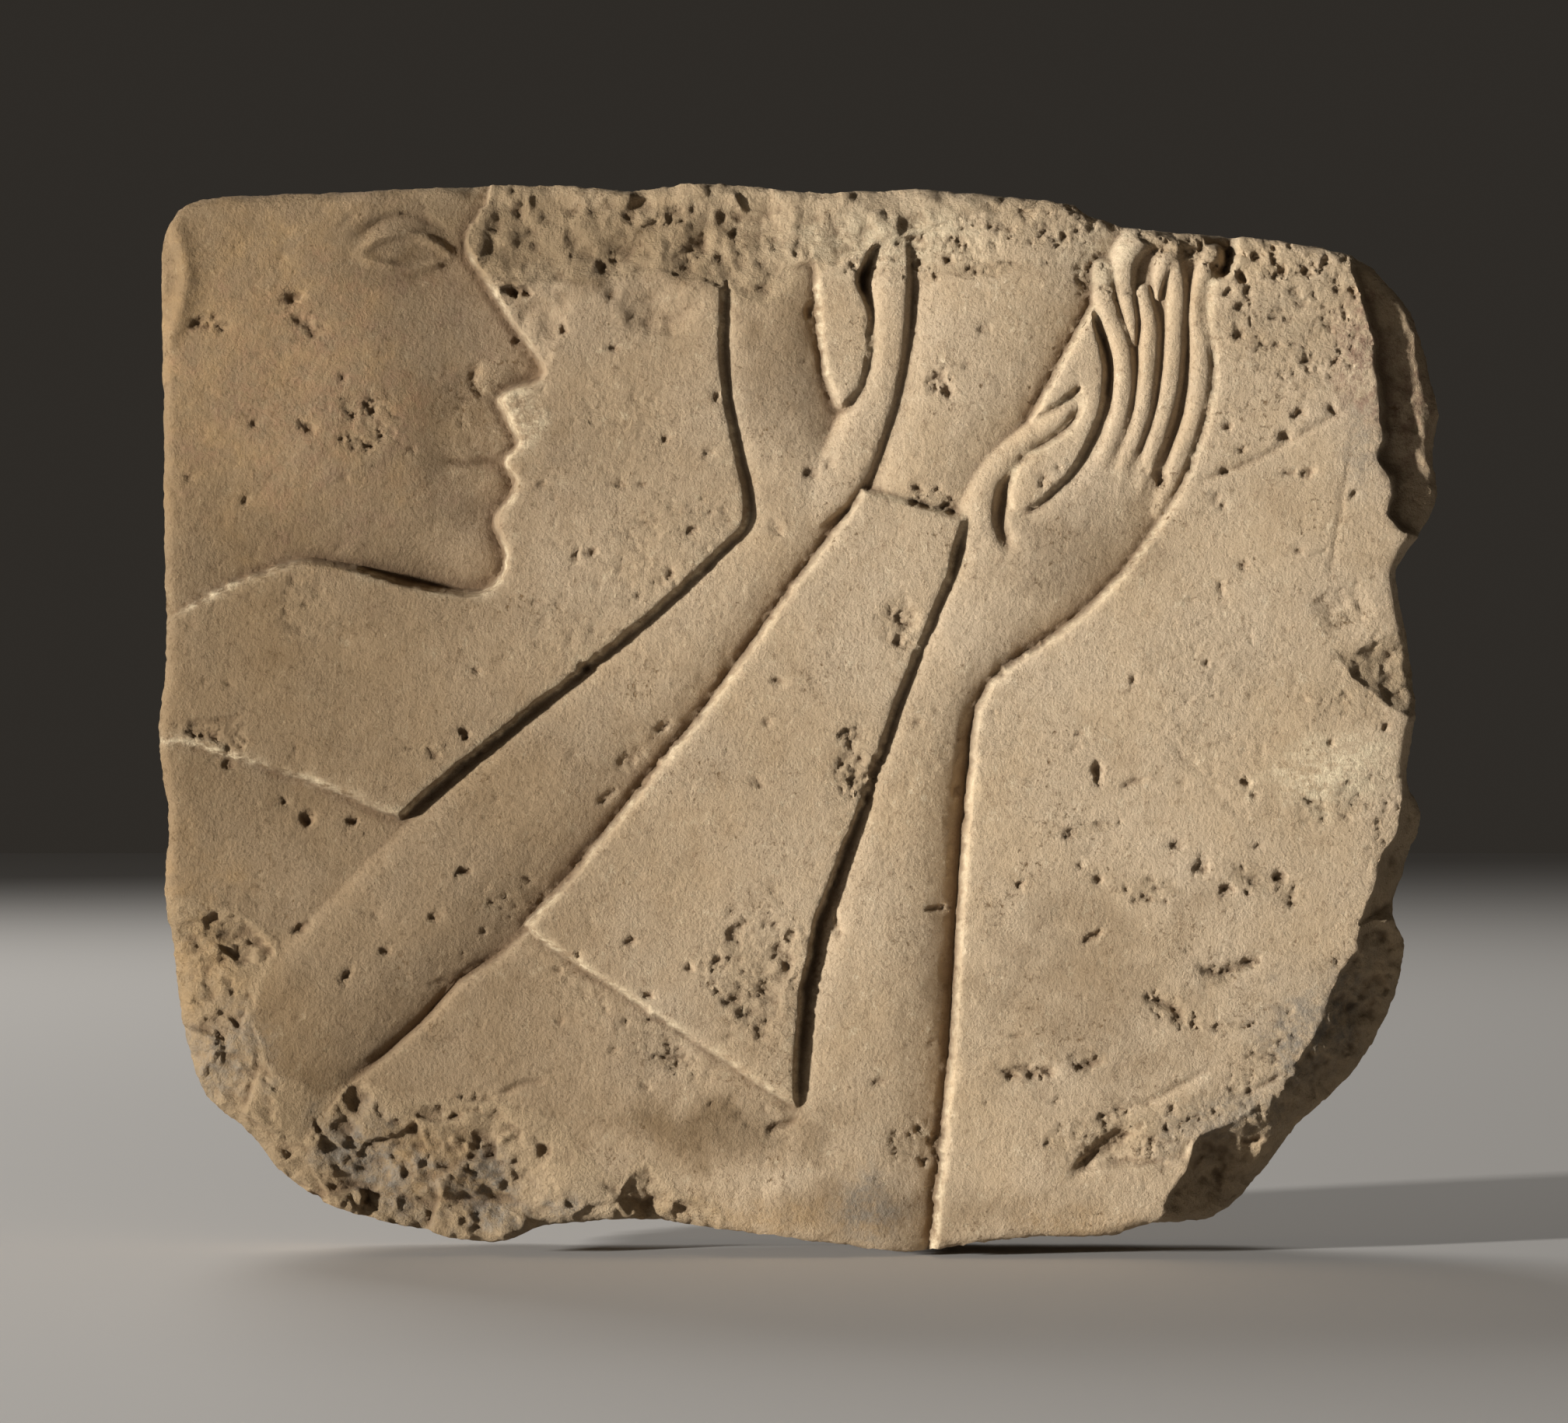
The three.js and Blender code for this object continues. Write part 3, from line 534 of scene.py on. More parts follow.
# ---- Breaks ------------------------------------------------------------------------------------------
# The edges of the block are broken: a wide shallow scar along the top, a ledge split off the right side,
# a deep break at the lower right, thin flakes lost at the lower left and a notch in the lower edge. The
# broken stone shows flat-sided chips and crumbs of several sizes.

coarse_chips, fine_chips = chips(4.6, 51, 0.45), chips(2.1, 52, 0.5)
crumbs = soften(0.13 * coarse_chips + 0.18 * fine_chips, 0.2) + 1.5 * rubble(16, 53, 6, 0.57)
lumps = soften(0.12 * coarse_chips + 0.12 * fine_chips, 0.4) + 1.8 * rubble(13, 57, 5, 0.47)
flakes = soften(0.15 * chips(9.5, 54, 0.36) + 0.2 * chips(2.8, 55, 0.45), 0.25)
flakes = flakes + 1.3 * rubble(12, 56, 5, 0.6, -25, 2.2)


def broken(outline, fall, rough, ragged, seed, crumbs=crumbs):
    """Depth of a break: `fall` gives the depth at each distance in from the edge of a ragged outline, and
    crumbs as high as `rough` mm lie on it. Outside the outline the break stands in the air, at no depth."""
    reach = max(distance for distance, _ in fall)
    within = inside(np.asarray(outline, float), reach) + ragged * rubble(9, seed, 4, 0.6)
    level = np.interp(within, [distance for distance, _ in fall], [mm for _, mm in fall]).astype(np.float32)
    return np.where(within > -0.5, level + rough * crumbs * ease(0.25 + within / 3), -9.0)


top_scar = broken(
    [(-86, 126), (-82, 112), (-77, 100), (-71, 95), (-60, 94.6), (-49, 94.4), (-40, 95.5), (-28, 96.5),
     (-18, 93), (-15, 90.5), (-8, 89.5), (-2, 91), (3, 93.5), (6, 98), (12, 99.5), (18, 102), (26, 104),
     (33, 108), (44, 109), (54, 110), (62, 113), (64, 126)],
    [(-0.5, -0.5), (0.6, 1.6), (4, 2.9), (10, 4.0), (16, 5.4), (24, 9)],
    1.8, 1.8, 61, 0.65 * lumps + 0.35 * crumbs,
)
under_scar = broken(
    [(-74, 100), (-69.5, 92), (-66, 86), (-62, 79.5), (-55, 76), (-50, 79.5), (-43, 79), (-36, 82.5),
     (-28, 81.5), (-20, 83.5), (-17.4, 88), (-17, 97), (-45, 100)],
    [(-0.5, -0.4), (1, 0.35), (5, 0.9), (12, 1.3)],
    1.15, 2.0, 62, lumps,
)
right_ledge = broken(
    [(121, 126), (120, 97), (121.5, 92), (124.5, 82), (125.5, 72), (126, 65), (126.5, 60), (125.3, 56),
     (128, 52), (128.5, 48), (127.5, 44), (131, 40), (150, 36), (150, 126)],
    [(-0.5, -0.5), (0.4, 3.0), (1.4, 4.6), (6, 5.0), (9, 5.0), (13, 6.6), (20, 12)],
    0.8, 0.7, 63,
)
right_chip = broken(
    [(109, 24), (113.5, 27.3), (121, 30.5), (125, 25), (124, 20), (119.5, 15.8), (113.5, 17.5)],
    [(-0.5, -0.5), (1, 0.9), (4, 1.9)], 0.9, 0.7, 64,
)
lower_right_chip = broken(
    [(114.3, 15.5), (120, 14.5), (124.5, 17), (131, 20), (140, 18), (140, 0), (131, 0), (126, 3), (121.5, 6),
     (118.8, 9)],
    [(-0.5, -0.5), (1, 1.3), (5, 2.6), (12, 4.6)], 1.25, 0.9, 65,
)
right_edge = broken(
    [(136, 2), (133, -5), (131.5, -12), (130.5, -18), (129, -25), (126, -30), (124.5, -37), (121, -45),
     (150, -48), (150, 2)],
    [(-0.5, -0.5), (0.5, 1.5), (2.5, 5), (7, 9), (14, 14)], 1.1, 0.6, 66,
)
lower_right = broken(
    [(123, -41), (121, -45), (120, -50), (117, -55), (114, -60), (113, -65), (110, -71), (107, -75),
     (101, -82), (97, -86), (91, -88.5), (86, -90), (84.5, -95), (82.5, -100), (78, -107), (76, -126),
     (150, -126), (150, -41)],
    [(-0.5, -0.5), (0.8, 1.4), (4, 4.2), (8, 8.5), (14, 12), (26, 20)], 2.0, 1.2, 67,
)
scarp = broken(
    [(60, -99), (64, -94), (71, -89.5), (78, -91), (85, -91.5), (84, -96), (75, -97.5), (66, -97.8)],
    [(-0.5, -0.5), (0.7, 1.3), (3, 1.2)], 0.7, 0.6, 68,
)
lower_left = broken(
    [(-150, -37), (-133, -39), (-120, -43.5), (-113, -49), (-116, -58), (-119, -66), (-114, -77),
     (-104, -81.5), (-97, -80), (-86, -82), (-76, -84), (-66, -83.5), (-58, -86), (-50.5, -88),
     (-48, -94), (-40, -100), (-30, -104), (-22, -110), (-18, -126), (-150, -126)],
    [(-0.5, 0.2), (0.8, 2.4), (5, 3.4), (12, 4.8), (20, 7.6), (34, 16)], 2.2, 1.8, 69, flakes,
)
bottom_notch = broken(
    [(-40, -126), (-41, -106), (-37, -98), (-33, -95.5), (-28.5, -98.5), (-26, -103), (-17, -106.5),
     (-14, -126)],
    [(-0.5, -0.5), (1, 2.4), (4, 4.4), (10, 8), (16, 12)], 2.0, 1.6, 70,
)
middle_scar = broken(
    [(-18.5, -50), (-14, -43.5), (-6, -42.5), (-1, -46), (-1.5, -56), (-3.5, -66), (-9, -70.5), (-14, -66),
     (-19.5, -61)],
    [(-0.5, -0.2), (1.5, 0.6), (5, 1.2)], 1.2, 2.2, 71,
)
lump = broken(
    [(-99.5, -78), (-93.5, -77), (-92, -82), (-94, -88), (-98, -89), (-100, -84)],
    [(-0.5, -0.5), (0.8, 3.6), (3, 5.4)], 0.8, 1.2, 73,
)
large_breaks = [top_scar, right_ledge, lower_right_chip, right_edge, lower_right, lower_left, bottom_notch]
for lost in large_breaks + [lump, under_scar, right_chip, scarp, middle_scar]:
    depth = np.maximum(depth, lost)
fresh = ease(np.maximum.reduce(large_breaks) / 1.2)
rounding = 3.4 * np.maximum(1 - (rim + 0.5 * rubble(5, 72)) / 3.6, 0) ** 2.2
depth = depth + rounding + 0.8 * np.maximum(1 - rim / 9, 0) ** 2

# ---- Pits, cracks and tool marks ----------------------------------------------------------------------
# The stone has natural holes and has lost small chips; a crack runs in from the right edge. The rubbed
# field is dense and finely pitted in slanting drifts, and the sunk parts keep the drag of the chisel.

shake_x = rubble(2.4, 121, 4, 0.65)
shake_z = rubble(2.4, 131, 4, 0.65)
bitten = rubble(1.7, 135, 4, 0.75)


def gouged(holes):
    """Ragged holes given as (x, z, half width, half height, depth, turn): uneven in the middle of each
    oval and steep at its edge, which wanders with the shaking of the grid and is bitten into by crumbs."""
    cut = np.zeros(X.shape, np.float32)
    for x, z, wide, tall, deep, turn in holes:
        near = spot([(x, z)], 2 * max(wide, tall) + 1)
        c, s = np.cos(np.radians(turn)), np.sin(np.radians(turn))
        loose = 0.2 + 0.75 * min(wide, tall)
        dx, dz = X[near] - x + loose * shake_x[near], Z[near] - z + loose * shake_z[near]
        away = np.hypot((dx * c + dz * s) / wide, (dz * c - dx * s) / tall) + 0.55 * bitten[near]
        cut[near] = np.maximum(cut[near], deep * (0.8 + 0.8 * shake_z[near]) * ease((1.35 - away) / 1.0))
    return cut


def crumbled(patches):
    """How far the stone has crumbled, from 0 to 1, in ragged oval patches given as (x, z, half width, half
    height, turn, strength)."""
    share = np.zeros(X.shape, np.float32)
    for x, z, wide, tall, turn, strength in patches:
        near = spot([(x, z)], 1.7 * max(wide, tall) + 2)
        c, s = np.cos(np.radians(turn)), np.sin(np.radians(turn))
        dx, dz = X[near] - x, Z[near] - z
        away = np.hypot((dx * c + dz * s) / wide, (dz * c - dx * s) / tall)
        share[near] = np.maximum(share[near], strength * ease((1.2 - away + 0.7 * shake_x[near]) / 0.6))
    return share


def cracked(line, width, deep):
    """A crack along a line that wanders a little, with a round bottom and fading ends."""
    line = np.array(line, float)
    return stroke(np.column_stack([line, np.zeros(len(line))]), width, deep)


in_head_holes = [
    (-110, 91, 2.6, 1.2, 1.6, 20), (-107.5, 85.5, 2.4, 1.3, 1.4, -25), (-105, 83.5, 1.4, 1.0, 1.0, 0),
    (-107, 63, 2.2, 1.1, 1.4, -20), (-125, 85, 1.6, 1.2, 1.2, 0), (-130, 85.5, 2.2, 1.3, 1.3, 10),
    (-127, 86.5, 1.2, 0.9, 1.0, 0), (-120, 47, 1.2, 1.0, 0.8, 0), (-99, 74, 1.0, 0.8, 0.7, 0),
    (-103.5, 84.5, 1.0, 0.8, 0.8, 0), (-89.5, 70, 1.0, 0.8, 0.7, 0), (-84, 58, 1.1, 0.8, 0.8, 20),
    (-118, 64, 1.0, 0.8, 0.7, 0), (-132, 52, 1.2, 0.9, 0.7, 0), (-99, 52, 0.8, 0.7, 0.6, 0),
]
field_holes = [
    (-72.5, -4, 1.5, 1.5, 2.0, 0), (-48.5, 35, 0.8, 2.0, 1.3, -15), (-45, 36, 1.4, 1.0, 0.9, 30),
    (-23.5, 40.5, 1.7, 1.0, 1.3, 20), (-28, 31, 1.1, 0.9, 1.0, 0), (-20, 57, 1.2, 0.9, 1.0, 30),
    (-29, 60.5, 1.1, 0.8, 0.9, 0), (-39, 50.5, 1.2, 0.8, 0.9, 0), (-34, 50.5, 1.4, 0.8, 0.9, 15),
    (-56, 50.7, 1.3, 0.7, 0.5, 45), (-57, 25, 1.1, 0.8, 0.8, 0), (-70, 10, 1.0, 0.8, 0.8, 0),
    (-47, 11, 1.5, 1.2, 1.6, 40), (-18, 70, 0.9, 1.2, 0.8, 0), (-124, -10, 1.2, 1.0, 1.3, 0),
    (-128.5, -3.5, 4.2, 1.5, 1.6, -5), (-123, -4.5, 3.2, 3.0, 1.1, 0), (-51, 84.3, 1.2, 0.9, 1.6, 0),
    (-61.8, 92.5, 3.4, 1.0, 3.2, -4), (-62, 82, 1.0, 0.9, 1.2, 0),
    (-40, 80, 1.1, 0.8, 1.0, 0),
    (64.5, -12, 1.3, 2.7, 1.8, 12), (72.5, -14, 3.2, 1.1, 0.9, 18), (48, -36, 1.0, 0.9, 1.1, 0),
    (64.5, -35, 1.0, 0.8, 1.0, 0), (61, -32, 0.9, 0.8, 0.9, 0), (92.5, -37.5, 1.7, 1.3, 1.9, 30),
    (104, -34.5, 1.8, 1.2, 1.9, -10), (63.5, -47.5, 2.4, 0.9, 1.2, 40), (96.5, -14, 1.4, 1.0, 1.5, -30),
    (98.5, -17, 1.0, 0.9, 1.1, 0), (115, -5.5, 1.0, 0.8, 0.9, 0), (87, -32, 1.6, 2.4, 1.2, -20),
    (82, -27.5, 1.4, 0.9, 1.0, 0), (99, -28, 1.2, 0.8, 0.9, 0), (52, -77, 3.2, 1.3, 1.6, 10),
    (45.6, -77.4, 2.0, 1.2, 1.4, -8), (48.5, -76, 2.4, 1.0, 1.0, 0), (63, -75, 2.8, 1.4, 1.2, 25),
    (96, 58, 1.1, 0.9, 1.1, 0), (93, 63, 1.2, 0.8, 1.1, 20), (105, 61, 1.6, 1.1, 1.5, 35),
    (110, 53, 1.4, 1.1, 1.4, 20), (106, 52.8, 1.6, 0.9, 1.1, 20), (90, 47, 1.0, 1.6, 0.9, -30),
    (92, 46, 0.8, 1.3, 0.9, -30), (108, 66, 1.5, 1.2, 1.5, 30), (115, 67, 1.2, 1.1, 1.3, 0),
    (120, 48.5, 1.0, 0.9, 1.0, 0), (96, 33, 1.1, 0.9, 1.0, 0), (91, 28, 0.9, 1.6, 1.0, 0),
    (108, 36, 0.9, 0.9, 0.8, 0), (95.5, 95.5, 1.4, 1.3, 2.2, 0), (90, 97.8, 2.2, 1.0, 1.8, -20),
    (93, 92, 1.2, 1.0, 1.3, 0), (95, 89, 1.1, 0.9, 1.1, 0), (92, 53.5, 0.9, 0.8, 1.0, 0),
    (127, -2, 1.0, 0.9, 1.0, 0), (88, 12, 0.9, 0.8, 0.8, 0), (72, 8, 0.9, 0.8, 0.8, 0),
    (23, 21.5, 2.4, 3.4, 1.1, 20), (21.4, 17, 1.2, 1.6, 1.0, 0), (12, -4, 2.4, 2.2, 1.2, 0),
    (13, -13, 2.6, 4.6, 1.3, 0), (10, -9, 2.2, 1.4, 1.0, 30), (8, -45.5, 1.0, 2.6, 1.2, 0),
    (-36.5, -48.5, 1.4, 1.0, 1.4, 20), (-48, -51.5, 1.0, 0.8, 1.0, 0), (-33, -60, 1.2, 0.9, 1.1, 0),
    (-24, -54, 1.0, 1.2, 1.0, 0), (-2, -47.5, 1.2, 1.6, 1.4, 0), (-5, 8, 0.9, 0.8, 0.9, 0),
    (-7, -1, 0.9, 0.8, 0.9, 0), (-9, -14, 0.7, 1.6, 0.9, 20), (-26.5, -73.5, 2.8, 2.4, 1.3, -35),
]
sunk_holes = [
    (-73, -33.5, 1.5, 1.3, 1.7, 30), (-98, -56, 1.0, 2.1, 1.5, -35), (-90, -50.5, 1.4, 0.9, 1.1, 0),
    (-79, -43, 1.4, 1.1, 0.9, 20), (-92, -43, 1.2, 0.9, 0.7, 0), (-78, -57.5, 2.2, 1.1, 0.7, 10),
    (-37, -9, 3.2, 1.6, 0.9, 40), (-30, -2, 2.4, 1.3, 0.8, 40), (-42, -17, 2.6, 1.1, 0.8, 40),
    (-5, 41, 1.2, 1.8, 0.8, 10), (2.5, 53, 1.2, 1.1, 0.9, 0), (6.5, 55, 1.1, 1.5, 0.9, 0),
    (-107, -22, 1.7, 1.5, 2.0, 0), (-97, -22.5, 1.3, 1.1, 1.5, 0), (-112, -18, 1.0, 0.9, 1.0, 0),
    (-108, -45.5, 2.6, 1.0, 1.3, 15), (30, -41.5, 2.4, 0.8, 1.4, 5), (17, -79, 1.2, 0.9, 0.9, 0),
    (26, -1, 1.0, 0.8, 0.7, 0), (34, -16, 0.8, 1.4, 1.0, 0), (30, 73, 2.4, 2.0, 1.6, 30),
    (32, 71, 1.2, 1.8, 1.3, 0), (40, 84, 1.5, 1.1, 0.7, 0), (36, 76, 1.2, 0.9, 0.6, 0),
    (2, 88, 0.7, 1.4, 1.0, 0), (-52, -66, 1.0, 0.8, 0.8, 0), (-34, -80, 1.2, 0.9, 0.9, 0),
    (-19, -84, 0.9, 0.8, 0.8, 0), (-40, -72, 1.0, 0.8, 0.8, 0), (27, 46.5, 2.0, 0.9, 1.1, -20),
    (32.5, 45.5, 1.6, 0.9, 1.0, -20), (78.4, 51.6, 1.2, 1.8, 1.6, 15), (75, 53.5, 0.9, 0.8, 1.0, 0),
    (53, 51.5, 1.6, 1.0, 1.1, 40), (56, 54, 0.9, 0.8, 0.8, 0), (71, 92, 0.9, 0.8, 0.8, 0),
]
scar_hollows = [
    (-27, 109, 3.2, 2.0, 2.2, 30), (-38, 100, 6.5, 2.4, 1.8, 25), (-22, 102, 3.0, 2.4, 1.8, 40),
    (-13, 105.5, 2.4, 1.6, 1.6, 0), (0, 102, 2.4, 2.0, 1.9, 0), (-47, 101, 2.8, 2.0, 1.4, 20),
    (-5, 103, 2.0, 1.4, 1.4, 0), (-60, 99, 3.0, 2.0, 1.2, 0), (36, 109, 1.8, 1.1, 1.5, 0),
    (44, 106, 2.4, 1.1, 1.5, 10), (54, 105, 1.6, 2.4, 1.2, 0), (-52, 109, 4.0, 1.8, 1.3, 20),
    (-34, 111, 2.6, 1.6, 1.3, 0), (8, 108, 2.0, 2.6, 1.2, 0), (35, 96, 5.0, 0.9, 1.0, 3),
    (44, 98, 3.4, 0.9, 0.9, 8), (29, 95, 2.4, 1.0, 0.9, 0),
]
worn_patches = [
    (-81.5, -7.5, 6.5, 1.8, 5, 0.55), (-108, 25, 5, 8, 0, 0.35), (62, -24.5, 7.5, 1.5, 12, 0.55),
    (76.5, -37.5, 6.5, 3, 5, 0.6), (98, -35, 5, 3, -20, 0.6), (106, -38, 4, 3, -40, 0.5),
    (92.5, -54.5, 7.5, 1.5, 14, 0.75), (115, -53.5, 4, 1.3, 10, 0.4), (81, -63.5, 7, 2.6, -28, 0.7),
    (93.5, -67, 4.5, 1.2, 8, 0.6), (62, -74.5, 4, 2.4, 10, 0.5), (92, -57, 5, 0.9, 14, 0.5),
    (107, 86, 14, 13, -20, 0.62), (100, 99, 14, 5, -10, 0.95), (84, 103, 12, 3.6, -5, 0.9),
    (117, 93, 5, 8, 10, 0.8), (64, 96, 4, 6, 20, 0.6), (52, 107, 13, 5, -5, 0.6), (40, 97, 13, 1.6, 4, 0.6),
    (22, 104, 17, 8, 0, 0.7), (-8, -55, 12, 13, 0, 0.5), (22, 20, 4, 7, 15, 0.5), (11, -9, 4, 11, -15, 0.45),
    (-62, -40, 8, 4, 40, 0.35), (-94, 64, 6, 6.5, 0, 0.75), (-70, 68, 7, 8, 0, 0.22), (-60, 70, 5, 7, 0, 0.3),
    (25, -93, 6, 4, 0, 0.5), (-66, -86, 9, 4, -20, 0.5), (-48, -60, 8, 4, -38, 0.35),
    (-30, -72, 12, 4, -36, 0.45), (-8, -88, 10, 3, -36, 0.3), (29, 47, 6, 2.5, -15, 0.6),
    (-40, 62, 12, 16, 0, 0.2), (-30, 36, 16, 9, 30, 0.3), (-50, 20, 14, 7, 20, 0.25), (90, 5, 14, 18, 0, 0.2),
    (70, -90, 16, 5, 10, 0.6), (100, -76, 9, 5, 40, 0.5), (90, -84, 12, 4, 20, 0.5),
    (118, -18, 12, 4, 20, 0.45), (120, 4, 9, 5, 0, 0.35), (128, -28, 4, 10, 0, 0.5),
]
untouched = 1 - np.clip(fresh, 0, 1)
hole_depth = gouged(in_head_holes) + gouged(field_holes) + gouged(sunk_holes)
crumbling = crumbled(worn_patches) * untouched
crumbled_away = 0.35 + 0.5 * np.abs(crumbs) + 2.6 * np.maximum(rubble(3.4, 137, 5, 0.68) - 0.05, 0)
cracks = sum(
    cracked(line, width, deep)
    for line, width, deep in (
        ([(83.5, 50.5), (88, 51.6), (92, 53), (97, 55), (103, 58), (109, 61.5), (117, 66), (121, 69)],
         1.3, 0.7),
        ([(120, 61), (118, 50), (115.5, 35), (115, 30)], 0.9, 0.35),
        ([(75, 0), (84, -9), (93, -19), (103, -30)], 1.4, 0.22),
        ([(62, -85), (73, -84), (80, -81), (91, -75)], 1.4, 0.7),
        ([(92, -83.5), (100, -80), (108, -75), (113, -70)], 1.1, 0.7),
        ([(59, -99.5), (64, -94), (68, -91), (71.5, -88.8)], 2.6, 2.2),
        ([(65, -97), (73, -96), (83, -98)], 1.6, 0.8),
        ([(1, 115), (5, 107), (7, 100)], 1.2, 0.6),
        ([(-7, -89.5), (-4, -88.6), (0, -87)], 1.6, 1.2),
        ([(-133, -1.5), (-127, -1), (-120, 0)], 1.4, 0.9),
        ([(-65, -82), (-60, -79.5), (-55, -79)], 1.3, 0.9),
        ([(-82, -69), (-77, -70), (-73, -69.5)], 1.2, 0.6),
        ([(-58, -48.5), (-66, -52.5), (-74, -57.5), (-82, -66), (-90, -73), (-99, -79)], 2.2, 1.0),
        ([(86, -53.5), (90, -55.5), (95, -54), (100, -51.5)], 1.6, 0.9),
        ([(76, -61), (81, -63), (83, -66.5)], 1.8, 1.0),
    )
)
dented = 0.4 + 2.2 * ease(grain(26, 142, 12, 1.8) * 1.6)
dents = np.maximum(rubble(5.0, 141, 4, 0.7, 14, 1.5) - 0.44, 0) * dented
fine_pits = np.maximum(rubble(3.2, 143, 4, 0.75, 30, 1.3) - 0.3, 0) * ease(0.8 + 1.3 * grain(15, 144))
in_stone = ease((in_field + 0.5) / 1.0)
rasped = np.where(X < -22, grain(1.5, 171, 47, 8), grain(1.5, 172, 84, 8))
tooling = 0.2 * rubble(5, 151, 5, 0.68) + 0.9 * fine_pits + 0.09 * rasped
field_wear = 0.12 * rubble(6, 161, 5, 0.7) + 0.8 * fine_pits + 1.2 * dents
depth = depth + untouched * (in_stone * field_wear + (1 - in_stone) * tooling)
depth = depth + 1.35 * crumbling * crumbled_away + hole_depth * (0.3 + 0.7 * untouched) + cracks * untouched
depth = depth + 0.5 * gouged(scar_hollows)
depth = np.maximum(depth, 0.06)

# ---- The panel -----------------------------------------------------------------------------------------
# The whole block as one closed skin: the carved face, the four hewn sides with their worn edges, and the
# flat sawn back that met the wall. The skin is laid as a grid stretched over the block's outline, then
# thinned where the stone is even, so that its faces go to the carving and the breaks.

columns, rows = 760, 632
triangles = 196000
sharp_from = 62  # degrees between two faces
least_left = 8  # mm of stone behind the deepest cut
corner_spots = [(-139.5, 104), (129, 94.5), (110, -88), (-122, -89)]
ragged = 0.7 * (1 + rubble(6, 81, 5, 0.66))


def sample(values, x, z):
    """A value read off the map of depths between its crossings, in proportion to the four around it."""
    u = np.clip((x - grid_x[0]) / PITCH, 0, X.shape[1] - 1.001)
    v = np.clip((z - grid_z[0]) / PITCH, 0, X.shape[0] - 1.001)
    iu, iv = u.astype(int), v.astype(int)
    fu, fv = u - iu, v - iv
    lower = values[iv, iu] * (1 - fu) + values[iv, iu + 1] * fu
    upper = values[iv + 1, iu] * (1 - fu) + values[iv + 1, iu + 1] * fu
    return lower * (1 - fv) + upper * fv


def evenly(line, count):
    """`count` + 1 points spaced evenly along a line."""
    steps = np.concatenate([[0], np.cumsum(np.hypot(*np.diff(line, axis=0).T))])
    wanted = np.linspace(0, steps[-1], count + 1)
    return np.stack([np.interp(wanted, steps, line[:, k]) for k in (0, 1)], -1)


def stretched(top, right, bottom, left):
    """A grid of points filling four sides that meet at their ends: the blend across plus the blend up and
    down, less the blend of the corners (a Coons patch). Top and bottom run right, left and right run down."""
    s = np.linspace(0, 1, len(top))[None, :, None]
    t = np.linspace(0, 1, len(left))[:, None, None]
    across = left[:, None] * (1 - s) + right[:, None] * s
    down = top[None] * (1 - t) + bottom[None] * t
    corners = (top[0] * (1 - s) + top[-1] * s) * (1 - t) + (bottom[0] * (1 - s) + bottom[-1] * s) * t
    return across + down - corners


outline = block_outline * (1 - sample(ragged, *block_outline.T) / np.hypot(*block_outline.T))[:, None]
marks = [int(np.argmin(np.hypot(*(outline - corner).T))) for corner in corner_spots]
outline = np.roll(outline, -marks[0], axis=0)
marks = [(mark - marks[0]) % len(outline) for mark in marks] + [len(outline)]
outline = np.concatenate([outline, outline[:1]])
sides = [
    evenly(outline[marks[k] : marks[k + 1] + 1], count)
    for k, count in enumerate((columns, rows, columns, rows))
]
border = np.concatenate([side[:-1] for side in sides])
nibbled = 0.35 * (1 + rubble(2.4, 83, 3, 0.6, x=border[:, 0], z=border[:, 1]))
border = border * (1 - nibbled / np.hypot(*border.T))[:, None]


def filled(ring, wide, tall):
    """The stretched grid inside a ring of points that runs clockwise from the top left corner."""
    ring = np.concatenate([ring, ring[:1]])
    top, right = ring[: wide + 1], ring[wide : wide + tall + 1]
    bottom, left = ring[wide + tall : 2 * wide + tall + 1][::-1], ring[2 * wide + tall :][::-1]
    return stretched(top, right, bottom, left)


def ring_order(wide, tall):
    """Places in a grid of the points on its edge, clockwise from the top left corner."""
    index = np.arange((wide + 1) * (tall + 1)).reshape(tall + 1, wide + 1)
    return np.concatenate([index[0, :-1], index[:-1, -1], index[-1, :0:-1], index[:0:-1, 0]])


def quads(index):
    """Four-sided faces between the neighbours in a grid of point numbers."""
    return np.stack([index[:-1, :-1], index[1:, :-1], index[1:, 1:], index[:-1, 1:]], -1).reshape(-1, 4)


# The carved face
face = filled(border, columns, rows).reshape(-1, 2)
face_depth = np.clip(sample(depth, face[:, 0], face[:, 1]), 0.05, thickness - least_left)
face_points = np.column_stack([face[:, 0], face_depth - thickness, face[:, 1]])
face_edge = ring_order(columns, rows)

# The sides, from the edge of the face back to the wall, hewn roughly and drawn in a little at the back
levels = 30
seam_fade = 60  # points over which the hewing dies away, so that it meets itself at the first corner
calm_reach = 29  # points on each side that the outline is evened over towards the back
way_back = (np.arange(1, levels + 1) / levels)[:, None]
border_depth = face_depth[face_edge][None, :]
side_depth = border_depth + (thickness - border_depth) * way_back
walk = np.concatenate([[0], np.cumsum(np.hypot(*np.diff(border, axis=0).T))])
seam = np.minimum(np.arange(len(border)), len(border) - np.arange(len(border))) / seam_fade
hewn = rubble(9, 85, 3, 0.6, x=np.broadcast_to(walk, side_depth.shape), z=side_depth)
hewn = hewn * np.minimum(seam, 1)
draw_in = np.interp(side_depth, (0, 4, 14, 32, 42, thickness), (0.5, 0.3, 0, 0.6, 1.4, 3.4))
draw_in = draw_in + 0.9 * (1 + hewn) * np.minimum(way_back * 12, 1)
bell = np.hanning(2 * calm_reach + 3)
bell = bell[1:-1] / bell.sum()
calm = np.concatenate([border[-calm_reach:], border, border[:calm_reach]])
calm = np.stack([np.convolve(calm[:, k], bell, "valid") for k in (0, 1)], -1)
calm_share = ease(3 * way_back)[..., None]
hewn_line = (border * (1 - calm_share) + calm * calm_share) * (1 - draw_in / np.hypot(*border.T))[..., None]
side_points = np.stack([hewn_line[..., 0], side_depth - thickness, hewn_line[..., 1]], -1)

